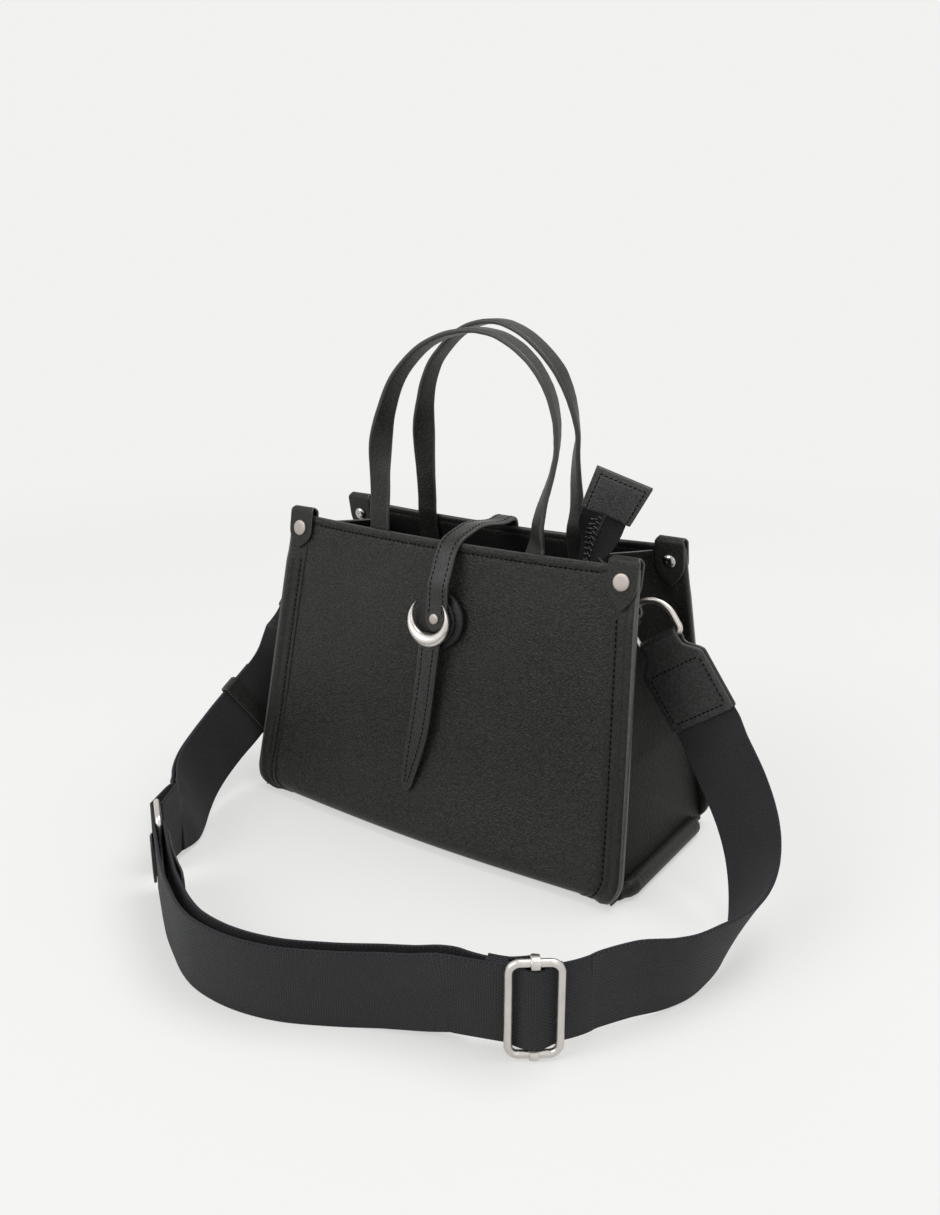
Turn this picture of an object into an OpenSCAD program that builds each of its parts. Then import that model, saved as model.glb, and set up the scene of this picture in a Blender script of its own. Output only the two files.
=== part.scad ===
// Small structured top handle bag with a webbing shoulder strap, in millimetres.
// Origin at the centre of the base on the ground, +X right seen from the front, -Y front, +Z up.

/* [Bag body] */
// Width of the front panel at the base
bottom_w = 259; // [220:1:300]
// Width of the front panel at the top edge
top_w = 231; // [190:1:250]
// Depth of the bag at the base
bottom_d = 118; // [100:1:150]
// Depth of the bag at the height of the corner tabs
top_d = 54; // [44:1:70]
// Height to the top of the corner tabs
bag_h = 180; // [150:1:220]
// How far the panel edge lies below the top of the corner tabs
edge_drop = 5; // [3:0.5:8]
// Thickness of the front and back panels
panel_t = 2.4; // [1.6:0.2:4]
// Radius of the panels' bottom corners
corner_r = 18; // [8:1:30]
// Thickness of the side gussets
gusset_t = 1.6; // [1:0.2:2.4]
// How far the gussets sit in from the panels' side edges
gusset_inset = 5; // [3:0.5:10]
// Height at which the gussets begin to fold inwards
fold_start_h = 70; // [40:1:100]
// Distance of the fold from the middle of the bag at its top
fold_top_x = 80; // [60:1:100]
// How far the gussets' top lies below the top of the corner tabs
gusset_drop = 9; // [6:1:20]
// Thickness of the lining
lining_t = 0.8; // [0.5:0.1:1.5]
// How far the lining's top lies below the top of the corner tabs
lining_drop = 32; // [28:1:50]
// Thickness of the leather base
base_t = 2.4; // [1.6:0.2:4]
// Thickness of the stiffening board in the base
board_t = 1.6; // [1:0.2:3]
// Radius of the piping along the gussets' lower edges
piping_r = 3; // [2:0.25:4]

/* [Side bindings and corner tabs] */
// Width of the binding along each side edge
binding_w = 9; // [6:0.5:12]
// Thickness of the binding
binding_t = 1.2; // [0.8:0.1:2]
// Half the width of a corner tab
tab_half_w = 10; // [8:0.5:12]
// Length of a corner tab's leaf below the top
tab_leaf_h = 27.4; // [22:0.2:34]
// Distance of a corner tab's middle from the panel's side edge
tab_edge_gap = 8.5; // [8:0.5:12]
// Thickness of a corner tab's leather
tab_t = 1.4; // [1:0.1:2]
// Height of the rivet below the top of the tab
rivet_drop = 13; // [11:0.5:18]
// Radius of a corner rivet's cap
rivet_cap_r = 5.2; // [4:0.1:6]
// Thickness of a corner rivet's cap
rivet_cap_t = 1.1; // [0.8:0.1:2]
// Radius of a rivet's shank
rivet_shank_r = 1.6; // [1.2:0.1:2]

/* [Handles] */
// Width of a handle strap
handle_w = 16; // [12:0.5:20]
// Thickness of a handle strap
handle_t = 3.2; // [2.4:0.2:4]
// Distance of a handle's legs from the middle at the bend
handle_foot_x = 53; // [45:1:62]
// Height of the bend above the top of the corner tabs
handle_bend_rise = 2; // [1.5:0.5:5]
// Rise of the front handle's top above its bend
front_handle_rise = 103; // [80:1:130]
// Rise of the back handle's top above its bend
back_handle_rise = 108; // [80:1:130]
// Lean of the front handle's top towards the middle
front_handle_lean = 9; // [4:1:12]
// Lean of the back handle's top towards the middle
back_handle_lean = 7; // [4:1:12]
// Length of a handle's sewn end inside the panel
handle_end_h = 26; // [18:1:28]

/* [Closure] */
// Width of the closure strap
closure_w = 17.5; // [14:0.5:22]
// Thickness of the closure strap
closure_t = 2.6; // [2:0.2:3.4]
// Height of the crescent's middle below the top of the corner tabs
crescent_drop = 50; // [42:1:60]
// Outer radius of the crescent
crescent_r = 15; // [13:0.5:18]
// Radius of the crescent's cut-out
crescent_cut_r = 12; // [11:0.25:13]
// Thickness of the crescent
crescent_t = 3; // [2:0.2:4]
// Radius of the magnetic snap's puck
puck_r = 16; // [14:0.5:18]
// Thickness of the puck
puck_t = 4; // [3:0.5:6]
// Radius of the snap's magnets
magnet_r = 8; // [6:0.5:10]
// Thickness of each magnet
magnet_t = 1.4; // [1:0.1:2]
// Thickness of the disc behind the crescent
backing_t = 1.6; // [1.2:0.2:2.4]
// Length of the pointed tab
point_tab_h = 90; // [60:1:96]
// Thickness of the pointed tab
point_tab_t = 2.2; // [1.6:0.2:3]
// Lean of the pointed tab towards the panel, in degrees
point_tab_lean = 1.8; // [0:0.2:2]
// Radius of the closure rivet's cap
small_rivet_r = 3.3; // [2.5:0.1:4]
// Length of the closure strap's sewn end on the back panel
closure_base_h = 46; // [30:1:60]

/* [Zip] */
// Half width of the zip tape
tape_half_w = 12; // [10:0.5:14]
// Thickness of the zip tape
tape_t = 0.8; // [0.6:0.1:1.2]
// Width of the meshed teeth
teeth_w = 5; // [4:0.5:6]
// Thickness of the teeth
teeth_t = 2; // [1.6:0.2:2.6]
// Length of the tail's straight foot, where the slider runs
tail_straight_l = 33.2; // [33:0.2:38]
// Length of the tail's twisted part
tail_twist_l = 23; // [16:0.5:30]
// Lean of the tail's foot, in degrees
tail_lean = 16; // [8:1:22]
// Turn of the tail's foot out of the bag's middle plane, in degrees
tail_turn = 35; // [25:1:50]
// Lean of the leather end, in degrees
end_tab_lean = 26; // [15:1:35]
// Length of the leather end on the zip tail
end_tab_l = 24; // [18:1:30]
// Width of the leather end at its foot
end_tab_w = 26; // [24:1:32]
// Width of the leather end at its top
end_tab_top_w = 29; // [26:1:34]
// Leather thickness of the end tab
end_tab_t = 1.4; // [1:0.1:2]
// Length of the zip slider
zip_slider_l = 11; // [9:0.5:14]
// Width of the zip slider
zip_slider_w = 9; // [8:0.5:11]
// Distance of the zip slider from the tail's foot
slider_foot_l = 7.2; // [6:0.2:7.6]
// Length of the zip pull
zip_pull_l = 15; // [10:0.5:17]

/* [D rings and chapes] */
// Wire radius of the D rings
d_wire_r = 1.8; // [1.4:0.1:2.2]
// Radius of a D ring's bow, to the middle of the wire
d_bow_r = 13.4; // [12:0.2:16]
// Distance from a D ring's bow to its straight bar, between wire middles
d_depth = 22.6; // [20:0.2:26]
// Depth of the ring's bow in its leather tab below the top of the corner tabs
d_top_drop = 31.5; // [26:0.5:38]
// Distance of the ring's bow from the panels' side edge
d_top_inset = 13; // [8:0.5:16]
// Angle of the hanging ring from the upright, in degrees
d_hang = 35; // [25:1:40]
// Width of the leather tab that holds a D ring
d_tab_w = 9; // [6:0.5:10]
// Leather thickness of the chapes and ring tabs
chape_t = 1.6; // [1.2:0.1:2.2]
// Width of a chape's neck
chape_neck_w = 22; // [18:0.5:23]
// Width of a chape's body
chape_w = 40.5; // [39.5:0.5:44]
// Distance from a D ring's bar to where the chape is at full width
chape_shoulder_l = 16.4; // [12:0.2:20]
// Length of a chape from the D ring's bar
chape_l = 47; // [40:0.5:54]

/* [Shoulder strap] */
// Width of the webbing
web_w = 38; // [36:0.5:38]
// Thickness of the webbing
web_t = 1.4; // [1:0.1:1.6]
// Wire radius of the slider and the strap ring
buckle_wire_r = 1.7; // [1.4:0.1:1.8]
// Length of the slider frame along the strap, between wire middles
buckle_l = 24.6; // [23:0.2:27]
// Height of the slider frame and the strap ring, over all
buckle_h = 45.5; // [45:0.5:48]
// Radius of the slider's bar
slider_bar_r = 1.6; // [1.3:0.1:1.8]
// Thickness of the slider bar's lugs round the frame
lug_wall = 1.8; // [1.2:0.1:2.4]
// Angle that the folded webbing end covers on the strap's bend, in degrees
fold_end_angle = 33; // [28:1:34]
// Width of the leather tab on the strap ring
ring_tab_w = 26; // [20:1:34]
// Leather thickness of the strap ring's tab
ring_tab_t = 1.6; // [1.2:0.1:2]
// Width of the keeper band along the strap
keeper_l = 11; // [8:0.5:15]
// Leather thickness of the keeper
keeper_t = 1.4; // [1:0.1:2]

/* [Hidden] */
$fn = 48;

// Colours of the leather, lining, webbing and metal
leather = [0.10, 0.10, 0.095];
leather_edge = [0.16, 0.16, 0.15];
cloth = [0.05, 0.05, 0.055];
webbing = [0.07, 0.07, 0.085];
nickel = [0.72, 0.70, 0.67];
dark_metal = [0.30, 0.30, 0.31];

// Clearance between two pieces that are sewn or laid on each other
seat = 0.3;
// How far a cutting shape runs past what it cuts
over = 1;

// Panel slope and heights
slope = atan((bottom_d - top_d) / 2 / bag_h);
panel_l = (bag_h - edge_drop) / cos(slope);
panel_lift = panel_t * tan(slope);
top_l = bag_h / cos(slope);
panel_top_w = bottom_w + (top_w - bottom_w) * panel_l / top_l;
gusset_top_z = bag_h - gusset_drop;
lining_top_z = bag_h - lining_drop;
floor_z = base_t + seat + board_t + seat;
crescent_z = bag_h - crescent_drop;
// Middle of the zip tail's foot, set back from the gusset's fold and below the lining's top
tail_foot_gap = 15.2;
tail_foot_drop = 9;
tail_foot = [fold_top_x - tail_foot_gap, 0, lining_top_z - tail_foot_drop];

// Half depth to the panels' outer faces and half width to their side edges at a height
function half_d(z) = bottom_d / 2 - (bottom_d - top_d) / 2 * z / bag_h;
function half_w(z) = bottom_w / 2 - (bottom_w - top_w) / 2 * z / bag_h;

// Side walls: place of the gusset's edges and of its fold at a height
function gusset_x(z) = half_w(z) - gusset_inset;
function fold_share(z) = z <= fold_start_h ? 0 : (z - fold_start_h) / (gusset_top_z - fold_start_h);
function fold_x(z) = gusset_x(z) + (fold_top_x - gusset_x(z)) * fold_share(z);
function inner_y(z) = half_d(z) - panel_t / cos(slope) - seat;

function unit(v) = v / norm(v);
function mirror_x(v) = [-v[0], v[1], v[2]];

// A point between p1 and p2 of a smooth curve through the points
function curve_point(p0, p1, p2, p3, t) =
  (p1 * 2 + (p2 - p0) * t + (p0 * 2 - p1 * 5 + p2 * 4 - p3) * t * t
    + (p1 * 3 - p0 - p2 * 3 + p3) * t * t * t) / 2;
// A smooth curve through the points, with a number of steps from each to the next
function curve(p, steps) = [
  for (i = [0 : len(p) - 2])
    for (k = [0 : steps - 1])
      curve_point(p[max(i - 1, 0)], p[i], p[i + 1], p[min(i + 2, len(p) - 1)], k / steps),
  p[len(p) - 1]
];
function head(v) = [v[0], v[1], v[2]];
function tail(v) = [v[3], v[4], v[5]];

// Ribbons: each station holds the middle of the strap and the direction of its width
function station_t(s, i) = unit(head(s[min(i + 1, len(s) - 1)]) - head(s[max(i - 1, 0)]));
function station_w(s, i) =
  let (t = station_t(s, i), w = tail(s[i]))
  unit(w - t * (w * t));
function station_n(s, i) = cross(station_t(s, i), station_w(s, i));
// A station moved sideways, out of the strap's face
function beside(s, i, gap) =
  let (c = head(s[i]) - station_n(s, i) * gap)
  [c[0], c[1], c[2], s[i][3], s[i][4], s[i][5]];
function backwards(s) = [for (i = [len(s) - 1 : -1 : 0]) s[i]];

// Ribbon from one station to another, of a strip of the strap's width
module ribbon(s, first, last, width, thick, shift = 0, start_gap = 0) {
  count = last - first;
  points = [
    for (i = [first : last])
      let (
        t = station_t(s, i), w = station_w(s, i), n = cross(t, w) * thick / 2,
        c = head(s[i]) + w * shift + t * (i == first ? start_gap : 0)
      )
      each [c - w * width / 2 - n, c + w * width / 2 - n, c + w * width / 2 + n, c - w * width / 2 + n]
  ];
  sides = [
    for (i = [0 : count - 1])
      for (j = [0 : 3])
        let (a = i * 4 + j, b = i * 4 + (j + 1) % 4)
        each [[a, a + 4, b], [b, a + 4, b + 4]]
  ];
  ends = [
    [0, 1, 2], [0, 2, 3],
    [count * 4, count * 4 + 2, count * 4 + 1], [count * 4, count * 4 + 3, count * 4 + 2]
  ];
  polyhedron(points = points, faces = concat(sides, ends));
}
module whole_ribbon(s, width, thick, shift = 0) {
  ribbon(s, 0, len(s) - 1, width, thick, shift);
}

// Puts a shape drawn along x, y and z into a frame given by three directions
module in_frame(c, x, y, z) {
  multmatrix([
    [x[0], y[0], z[0], c[0]],
    [x[1], y[1], z[1], c[1]],
    [x[2], y[2], z[2], c[2]],
    [0, 0, 0, 1]
  ]) children();
}

// Stands a shape that is drawn flat on the front panel's outer face, with y up the slope and z outwards
module on_front() {
  translate([0, -bottom_d / 2, 0]) rotate([90 - slope, 0, 0]) children();
}
module on_back() {
  mirror([0, 1, 0]) on_front() children();
}

// Front and back panels
module panel_outline(inset) {
  r = corner_r - inset;
  foot = bottom_w / 2 - inset;
  crown = panel_top_w / 2 - inset;
  corner_x = foot - corner_r + inset;
  corner_y = corner_r + panel_lift;
  arc = [for (a = [0 : 10 : 90]) [corner_x + r * sin(a), corner_y - r * cos(a)]];
  right = concat(arc, [[crown, panel_l]]);
  polygon(concat(right, [for (i = [len(right) - 1 : -1 : 0]) [-right[i][0], right[i][1]]]));
}
module corner_holes(r) {
  for (s = [-1, 1])
    translate([s * tab_x, rivet_l]) circle(r);
}
module panel() {
  translate([0, 0, -panel_t]) linear_extrude(panel_t) difference() {
    panel_outline(0);
    corner_holes(rivet_shank_r + seat);
  }
}
module front_panel() { color(leather) on_front() panel(); }
module back_panel() { color(leather) on_back() panel(); }

// Faces of a closed form with six corners on every level, the slanting quads divided alike on both sides
function level_faces(n) = concat(
  [
    for (i = [0 : n - 2])
      for (j = [0 : 5])
        let (a = i * 6 + j, b = i * 6 + (j + 1) % 6)
        each (j % 3 == 1 ? [[a, a + 6, b + 6], [a, b + 6, b]] : [[a, a + 6, b], [b, a + 6, b + 6]])
  ],
  [[0, 1, 5], [1, 4, 5], [1, 2, 4], [2, 3, 4]],
  [
    for (f = [[0, 5, 1], [1, 5, 4], [1, 4, 2], [2, 4, 3]])
      [for (v = f) (n - 1) * 6 + v]
  ]
);

// Gussets: flat at the foot, folded inwards to a V at the top
fold_levels = [for (share = [0 : 1 / 6 : 1]) fold_start_h + (lining_top_z - fold_start_h) * share];
tab_low_z = bag_h - tab_leaf_h - seat * 2;
gusset_levels = concat([base_t + seat], fold_levels, [tab_low_z, gusset_top_z]);
// Half depth of the gusset, less where the corner tabs' inner leaves and rivets are
tab_room = tab_t + rivet_cap_t + seat * 3;
function gusset_y(z) = inner_y(z) - (z < tab_low_z ? 0 : tab_room);
module gusset() {
  points = [
    for (z = gusset_levels)
      let (x = gusset_x(z), f = fold_x(z), y = gusset_y(z))
      each [
        [x, -y, z], [f, 0, z], [x, y, z],
        [x - gusset_t, y, z], [f - gusset_t, 0, z], [x - gusset_t, -y, z]
      ]
  ];
  polyhedron(points = points, faces = level_faces(len(gusset_levels)));
}
module right_gusset() { color(leather) gusset(); }
module left_gusset() { color(leather) mirror([1, 0, 0]) gusset(); }

// Base
base_x = gusset_x(0) - corner_r / 4;
module base_panel() {
  color(leather)
    translate([-base_x, -inner_y(base_t), 0]) cube([base_x * 2, inner_y(base_t) * 2, base_t]);
}
board_z = base_t + seat;
board_x = gusset_x(0) - gusset_t - seat * 3;
module base_board() {
  half = inner_y(board_z + board_t) - seat;
  color([0.25, 0.22, 0.18])
    translate([-board_x, -half, board_z]) cube([board_x * 2, half * 2, board_t]);
}
piping_x = gusset_x(0) + piping_r + seat;
module base_piping() {
  color(leather_edge)
    for (s = [-1, 1])
      translate([s * piping_x, -inner_y(piping_r * 2) + seat, piping_r])
        rotate([-90, 0, 0]) cylinder(r = piping_r, h = (inner_y(piping_r * 2) - seat) * 2);
}

// Lining: an open shell just inside the walls
lining_levels = concat([floor_z], fold_levels);
lining_inset = seat * 1.5;
module lining_form(inset, rise) {
  points = [
    for (z = lining_levels)
      let (x = gusset_x(z) - gusset_t - inset, f = fold_x(z) - gusset_t - inset,
        y = inner_y(z) - inset, h = z + rise)
      each [[x, -y, h], [f, 0, h], [x, y, h], [-x, y, h], [-f, 0, h], [-x, -y, h]]
  ];
  polyhedron(points = points, faces = level_faces(len(lining_levels)));
}
module lining() {
  color(cloth) difference() {
    lining_form(lining_inset, 0);
    lining_form(lining_inset + lining_t, lining_t);
  }
}

// Corner tabs: leather folded over the panel's top edge and riveted through
tab_x = panel_top_w / 2 - tab_edge_gap;
rivet_l = top_l - rivet_drop;
// Outline of a leaf below its rivet, as shares of its half width and of its length below the rivet
leaf_shares = [[-1, 0.10], [-0.86, 0.45], [-0.45, 0.80], [0.10, 1], [0.30, 0.98], [0.70, 0.62], [0.96, 0.20]];
module leaf_outline(grow) {
  below = tab_leaf_h - rivet_drop;
  low = [for (p = leaf_shares) [p[0] * (tab_half_w + grow), rivet_l - p[1] * (below + grow)]];
  polygon(concat([[-tab_half_w - grow, top_l]], low, [[tab_half_w + grow, top_l]]));
}
module corner_tab(side) {
  color(leather_edge) translate([side * tab_x, 0, 0]) mirror([side < 0 ? 1 : 0, 0, 0]) {
    difference() {
      union() {
        translate([0, 0, seat]) linear_extrude(tab_t) leaf_outline(0);
        translate([0, 0, -panel_t - seat - tab_t]) linear_extrude(tab_t) leaf_outline(0);
        translate([-tab_half_w, panel_l + seat, -panel_t - seat - tab_t])
          cube([tab_half_w * 2, top_l - panel_l - seat, panel_t + (seat + tab_t) * 2]);
      }
      translate([0, rivet_l, -panel_t - seat - tab_t - over])
        cylinder(r = rivet_shank_r + seat, h = panel_t + (seat + tab_t + over) * 2);
    }
  }
}
module front_left_corner_tab() { on_front() corner_tab(-1); }
module front_right_corner_tab() { on_front() corner_tab(1); }
module back_left_corner_tab() { on_back() corner_tab(-1); }
module back_right_corner_tab() { on_back() corner_tab(1); }

module rivet(cap_r, cap_t, shank_r, grip_low, grip_high) {
  translate([0, 0, grip_high]) cylinder(r = cap_r, h = cap_t);
  translate([0, 0, grip_low - cap_t / 2]) cylinder(r = shank_r, h = grip_high - grip_low + cap_t);
  translate([0, 0, grip_low - cap_t]) cylinder(r = cap_r * 0.85, h = cap_t);
}
module corner_rivet_pair() {
  for (s = [-1, 1])
    translate([s * tab_x, rivet_l, 0])
      rivet(rivet_cap_r, rivet_cap_t, rivet_shank_r,
        -panel_t - seat - tab_t - seat / 2, seat + tab_t + seat / 2);
}
module corner_rivets() {
  color(nickel) {
    on_front() corner_rivet_pair();
    on_back() corner_rivet_pair();
  }
}

// Bindings along the side edges and round the bottom corners
module bindings() {
  color(leather_edge) translate([0, 0, seat]) linear_extrude(binding_t) difference() {
    panel_outline(0);
    panel_outline(binding_w);
    translate([-bottom_w / 2 + corner_r * 1.5, -over]) square([bottom_w - corner_r * 3, bag_h / 2]);
    translate([-panel_top_w / 2 + binding_w, bag_h / 2]) square([panel_top_w - binding_w * 2, bag_h]);
    for (s = [0, 1])
      mirror([s, 0]) translate([tab_x, 0]) leaf_outline(seat);
    for (s = [0, 1])
      mirror([s, 0]) translate([tab_x, rivet_l]) square([tab_half_w * 2, rivet_drop * 2]);
  }
}
module front_bindings() { on_front() bindings(); }
module back_bindings() { on_back() bindings(); }

// Handles: the legs turn a quarter turn on their way to the top
bend_z = bag_h + handle_bend_rise;
bend_y = inner_y(bag_h - edge_drop) - handle_t / 2;
// Distance from the middle, rise and turn of a handle's right half, as shares of foot, rise and right angle
handle_shares = [
  [1.00, 0.00, 0.00], [1.03, 0.10, 0.10], [1.10, 0.22, 0.36], [1.17, 0.36, 0.60], [1.19, 0.52, 0.74],
  [1.13, 0.67, 0.84], [0.98, 0.80, 0.91], [0.72, 0.91, 0.96], [0.38, 0.98, 0.99], [0.00, 1.00, 1.00]
];
function handle_side(rise, lean) = [
  for (p = handle_shares)
    [p[0] * handle_foot_x, -bend_y + lean * sin(p[1] * 90), bend_z + p[1] * rise, p[2] * 90]
];
// Right leg from its foot to the top, as stations of the ribbon
function handle_leg(rise, lean) =
  let (side = curve(handle_side(rise, lean), 3), last = len(side) - 1)
  [
    for (i = [0 : last])
      let (
        a = side[max(i - 1, 0)], b = side[min(i + 1, last)],
        t = i == last ? [-1, 0, 0] : unit([b[0] - a[0], 0, b[2] - a[2]]),
        inwards = [-t[2], 0, t[0]],
        turn = side[i][3]
      )
      concat(head(side[i]), inwards * cos(turn) + [0, 1, 0] * sin(turn))
  ];
function other_leg(s) = [
  for (i = [len(s) - 2 : -1 : 0])
    [-s[i][0], s[i][1], s[i][2], -s[i][3], s[i][4], s[i][5]]
];
module handle_arch(rise, lean) {
  leg = handle_leg(rise, lean);
  whole_ribbon(concat(leg, other_leg(leg)), handle_w, handle_t);
  for (s = [-1, 1])
    translate([s * handle_foot_x - handle_w / 2, -bend_y, bend_z]) rotate([0, 90, 0])
      cylinder(r = handle_t / 2, h = handle_w);
}
module handle_ends() {
  top = bend_z - handle_t / 2 - seat * 2;
  for (s = [-1, 1])
    translate([s * handle_foot_x - handle_w / 2, 0, 0]) rotate([90, 0, 90]) linear_extrude(handle_w)
      polygon([
        [-bend_y - handle_t / 2, top - handle_t],
        [-bend_y - handle_t * 0.15, top],
        [-bend_y + handle_t * 0.15, top],
        [-bend_y + handle_t / 2, top - handle_t],
        [-bend_y + handle_t / 2, bag_h - edge_drop],
        [-inner_y(top - handle_end_h) + handle_t, top - handle_end_h],
        [-inner_y(top - handle_end_h), top - handle_end_h],
        [-inner_y(bag_h - edge_drop), bag_h - edge_drop]
      ]);
}
module front_handle() { color(leather) handle_arch(front_handle_rise, front_handle_lean); }
module back_handle() {
  color(leather) translate([0, 2 * bend_y, 0]) handle_arch(back_handle_rise, -back_handle_lean);
}
module front_handle_ends() { color(leather) handle_ends(); }
module back_handle_ends() { color(leather) mirror([0, 1, 0]) handle_ends(); }

// Closure: heights of its layers above the front panel's outer face
puck_n = seat;
backing_n = puck_n + puck_t + seat;
strap_n = backing_n + backing_t + seat;
crescent_n = strap_n + closure_t - seat;
crescent_l = crescent_z / cos(slope);
rivet_hole_r = rivet_shank_r * 0.75;
strap_end_l = crescent_l - crescent_r * 0.3;
closure_rivet_l = crescent_l + crescent_r * 0.17;

module snap_puck() {
  color(leather_edge) on_front() difference() {
    translate([0, crescent_l, puck_n]) cylinder(r = puck_r, h = puck_t);
    translate([0, crescent_l, puck_n + puck_t - magnet_t - seat])
      cylinder(r = magnet_r + seat, h = magnet_t + seat + over);
  }
}
module snap_magnet_fixed() {
  color(nickel) on_front() translate([0, crescent_l, puck_n + puck_t - magnet_t])
    cylinder(r = magnet_r, h = magnet_t);
}
module snap_magnet_moving() {
  color(nickel) on_front() translate([0, crescent_l, backing_n]) cylinder(r = magnet_r, h = magnet_t / 2);
}
module closure_backing() {
  color(leather_edge) on_front() difference() {
    translate([0, crescent_l, backing_n]) cylinder(r = crescent_r, h = backing_t);
    translate([0, crescent_l, backing_n - over])
      cylinder(r = magnet_r + seat, h = magnet_t / 2 + seat + over);
    translate([0, closure_rivet_l, backing_n]) cylinder(r = rivet_hole_r + seat, h = backing_t + over);
    crescent_post_holes(backing_n, backing_t);
  }
}
// Posts that hold the crescent through the disc behind it
post_r = crescent_t * 0.3;
post_angles = [-155, -25];
module crescent_posts(low, high, r) {
  for (a = post_angles)
    translate([post_ring_r * cos(a), crescent_l + post_ring_r * sin(a), low]) cylinder(r = r, h = high - low);
}
module crescent_post_holes(low, thick) {
  crescent_posts(low - over, low + thick + over, post_r + seat);
}
post_ring_r = crescent_r - post_r * 2.2;
crescent_shift = crescent_r * 0.3;
module crescent() {
  color(nickel) on_front() {
    translate([0, crescent_l, crescent_n]) difference() {
      cylinder(r = crescent_r, h = crescent_t);
      translate([0, crescent_shift, -over]) cylinder(r = crescent_cut_r, h = crescent_t + over * 2);
    }
    crescent_posts(backing_n + backing_t / 2, crescent_n + crescent_t / 2, post_r);
  }
}
// The pointed tab: half widths as shares of the strap's half width, drops as shares of the tab's length
point_left_shares = [[-1.0, 0], [-1.0, 0.10], [-0.98, 0.55], [-0.92, 0.72], [-0.80, 0.99], [-0.66, 1]];
point_right_shares = [[-0.46, 0.98], [0.35, 0.80], [0.72, 0.70], [0.88, 0.60], [0.92, 0.10], [0.92, 0]];
module closure_tab() {
  half = closure_w / 2;
  top = crescent_l - crescent_r * 0.45;
  color(leather) on_front()
    translate([0, top, strap_n]) rotate([point_tab_lean, 0, 0]) linear_extrude(point_tab_t)
      polygon([for (p = concat(point_left_shares, point_right_shares)) [p[0] * half, -p[1] * point_tab_h]]);
}
module closure_rivet() {
  color(nickel) on_front() translate([0, closure_rivet_l, 0])
    union() {
      translate([0, 0, strap_n + closure_t + seat / 2]) cylinder(r = small_rivet_r, h = rivet_cap_t);
      translate([0, 0, backing_n + backing_t / 2])
        cylinder(r = rivet_hole_r, h = strap_n - backing_n + closure_t);
    }
}

// Closure strap: from its bend at the back, over the top and down to its rounded end at the crescent
closure_bend_y = half_d(bag_h - edge_drop) + seat + closure_t / 2;
closure_bend_z = bag_h + closure_t / 2;
function front_at(l, n) = [
  -bottom_d / 2 + l * sin(slope) - n * cos(slope),
  l * cos(slope) + n * sin(slope)
];
closure_mid_n = strap_n + closure_t / 2;
closure_path = curve([
  [closure_bend_y, closure_bend_z],
  [closure_bend_y * 0.62, closure_bend_z + closure_t * 1.2],
  [0, closure_bend_z + closure_t * 1.4],
  [-closure_bend_y * 0.62, closure_bend_z + closure_t * 1.1],
  [-closure_bend_y, closure_bend_z - closure_t * 0.3],
  front_at(panel_l - closure_t * 3.6, closure_mid_n * 0.93),
  front_at(panel_l - closure_t * 8, closure_mid_n),
  front_at(crescent_l + crescent_r * 0.6, closure_mid_n)
], 4);
function path_side(p, gap) = [
  for (i = [0 : len(p) - 1])
    let (a = p[max(i - 1, 0)], b = p[min(i + 1, len(p) - 1)], t = unit(b - a))
    p[i] + [-t[1], t[0]] * gap
];
module closure_strap() {
  outline = concat(
    path_side(closure_path, closure_t / 2),
    [for (i = [len(closure_path) - 1 : -1 : 0]) path_side(closure_path, -closure_t / 2)[i]]
  );
  color(leather) {
    translate([-closure_w / 2, 0, 0]) rotate([90, 0, 90]) linear_extrude(closure_w) polygon(outline);
    translate([-closure_w / 2, closure_bend_y, closure_bend_z]) rotate([0, 90, 0])
      cylinder(r = closure_t / 2, h = closure_w);
    on_front() difference() {
      union() {
        translate([-closure_w / 2, strap_end_l + closure_w / 2, strap_n])
          cube([closure_w, crescent_l + crescent_r * 0.62 - strap_end_l - closure_w / 2, closure_t]);
        translate([0, strap_end_l + closure_w / 2, strap_n]) cylinder(r = closure_w / 2, h = closure_t);
      }
      translate([0, closure_rivet_l, strap_n - over])
        cylinder(r = rivet_hole_r + seat, h = closure_t + over * 2);
    }
  }
}
module closure_strap_base() {
  top_n = closure_bend_z - closure_t / 2 - seat;
  y = [for (z = [top_n - closure_base_h, bag_h - edge_drop, top_n]) half_d(z) + seat / cos(slope)];
  color(leather) translate([-closure_w / 2, 0, 0]) rotate([90, 0, 90]) linear_extrude(closure_w)
    polygon([
      [y[0], top_n - closure_base_h],
      [y[0] + closure_t, top_n - closure_base_h],
      [y[1] + closure_t, bag_h - edge_drop],
      [y[1] + closure_t, top_n],
      [y[1], top_n],
      [y[1], bag_h - edge_drop]
    ]);
}

// Zip: the tapes run along the walls and meet near the foot of the tail
zip_low_z = lining_top_z - tape_half_w;
zip_wall_y = inner_y(lining_top_z) - lining_inset - lining_t - seat;
zip_start_x = fold_top_x;
zip_turn_x = tail_foot[0] - tape_half_w * 1.8;
// Plan of a tape, from the left along the wall and across to the edge of the tail's foot
module tape_plan(edge) {
  end = tail_foot + tail_across * edge * (tape_half_w + seat * 2);
  y = zip_wall_y;
  end_y = abs(end[1]);
  polygon([
    [-zip_start_x, -y],
    [zip_turn_x, -y],
    [end[0], -end_y],
    [end[0] - tape_t, -end_y],
    [zip_turn_x - tape_t, -y + tape_t],
    [-zip_start_x, -y + tape_t]
  ]);
}
module zip_tape(edge) {
  translate([0, 0, zip_low_z]) linear_extrude(tape_half_w) tape_plan(edge);
}
module zip_teeth() {
  y = zip_wall_y - tape_t - seat;
  translate([-zip_start_x, -y, zip_low_z + tape_half_w - teeth_w / 2])
    cube([zip_start_x + zip_turn_x - teeth_t * 2, teeth_t / 2, teeth_w / 2]);
}
module zip_tape_front() { color(cloth) zip_tape(1); }
module zip_tape_back() { color(cloth) mirror([0, 1, 0]) zip_tape(-1); }
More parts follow.
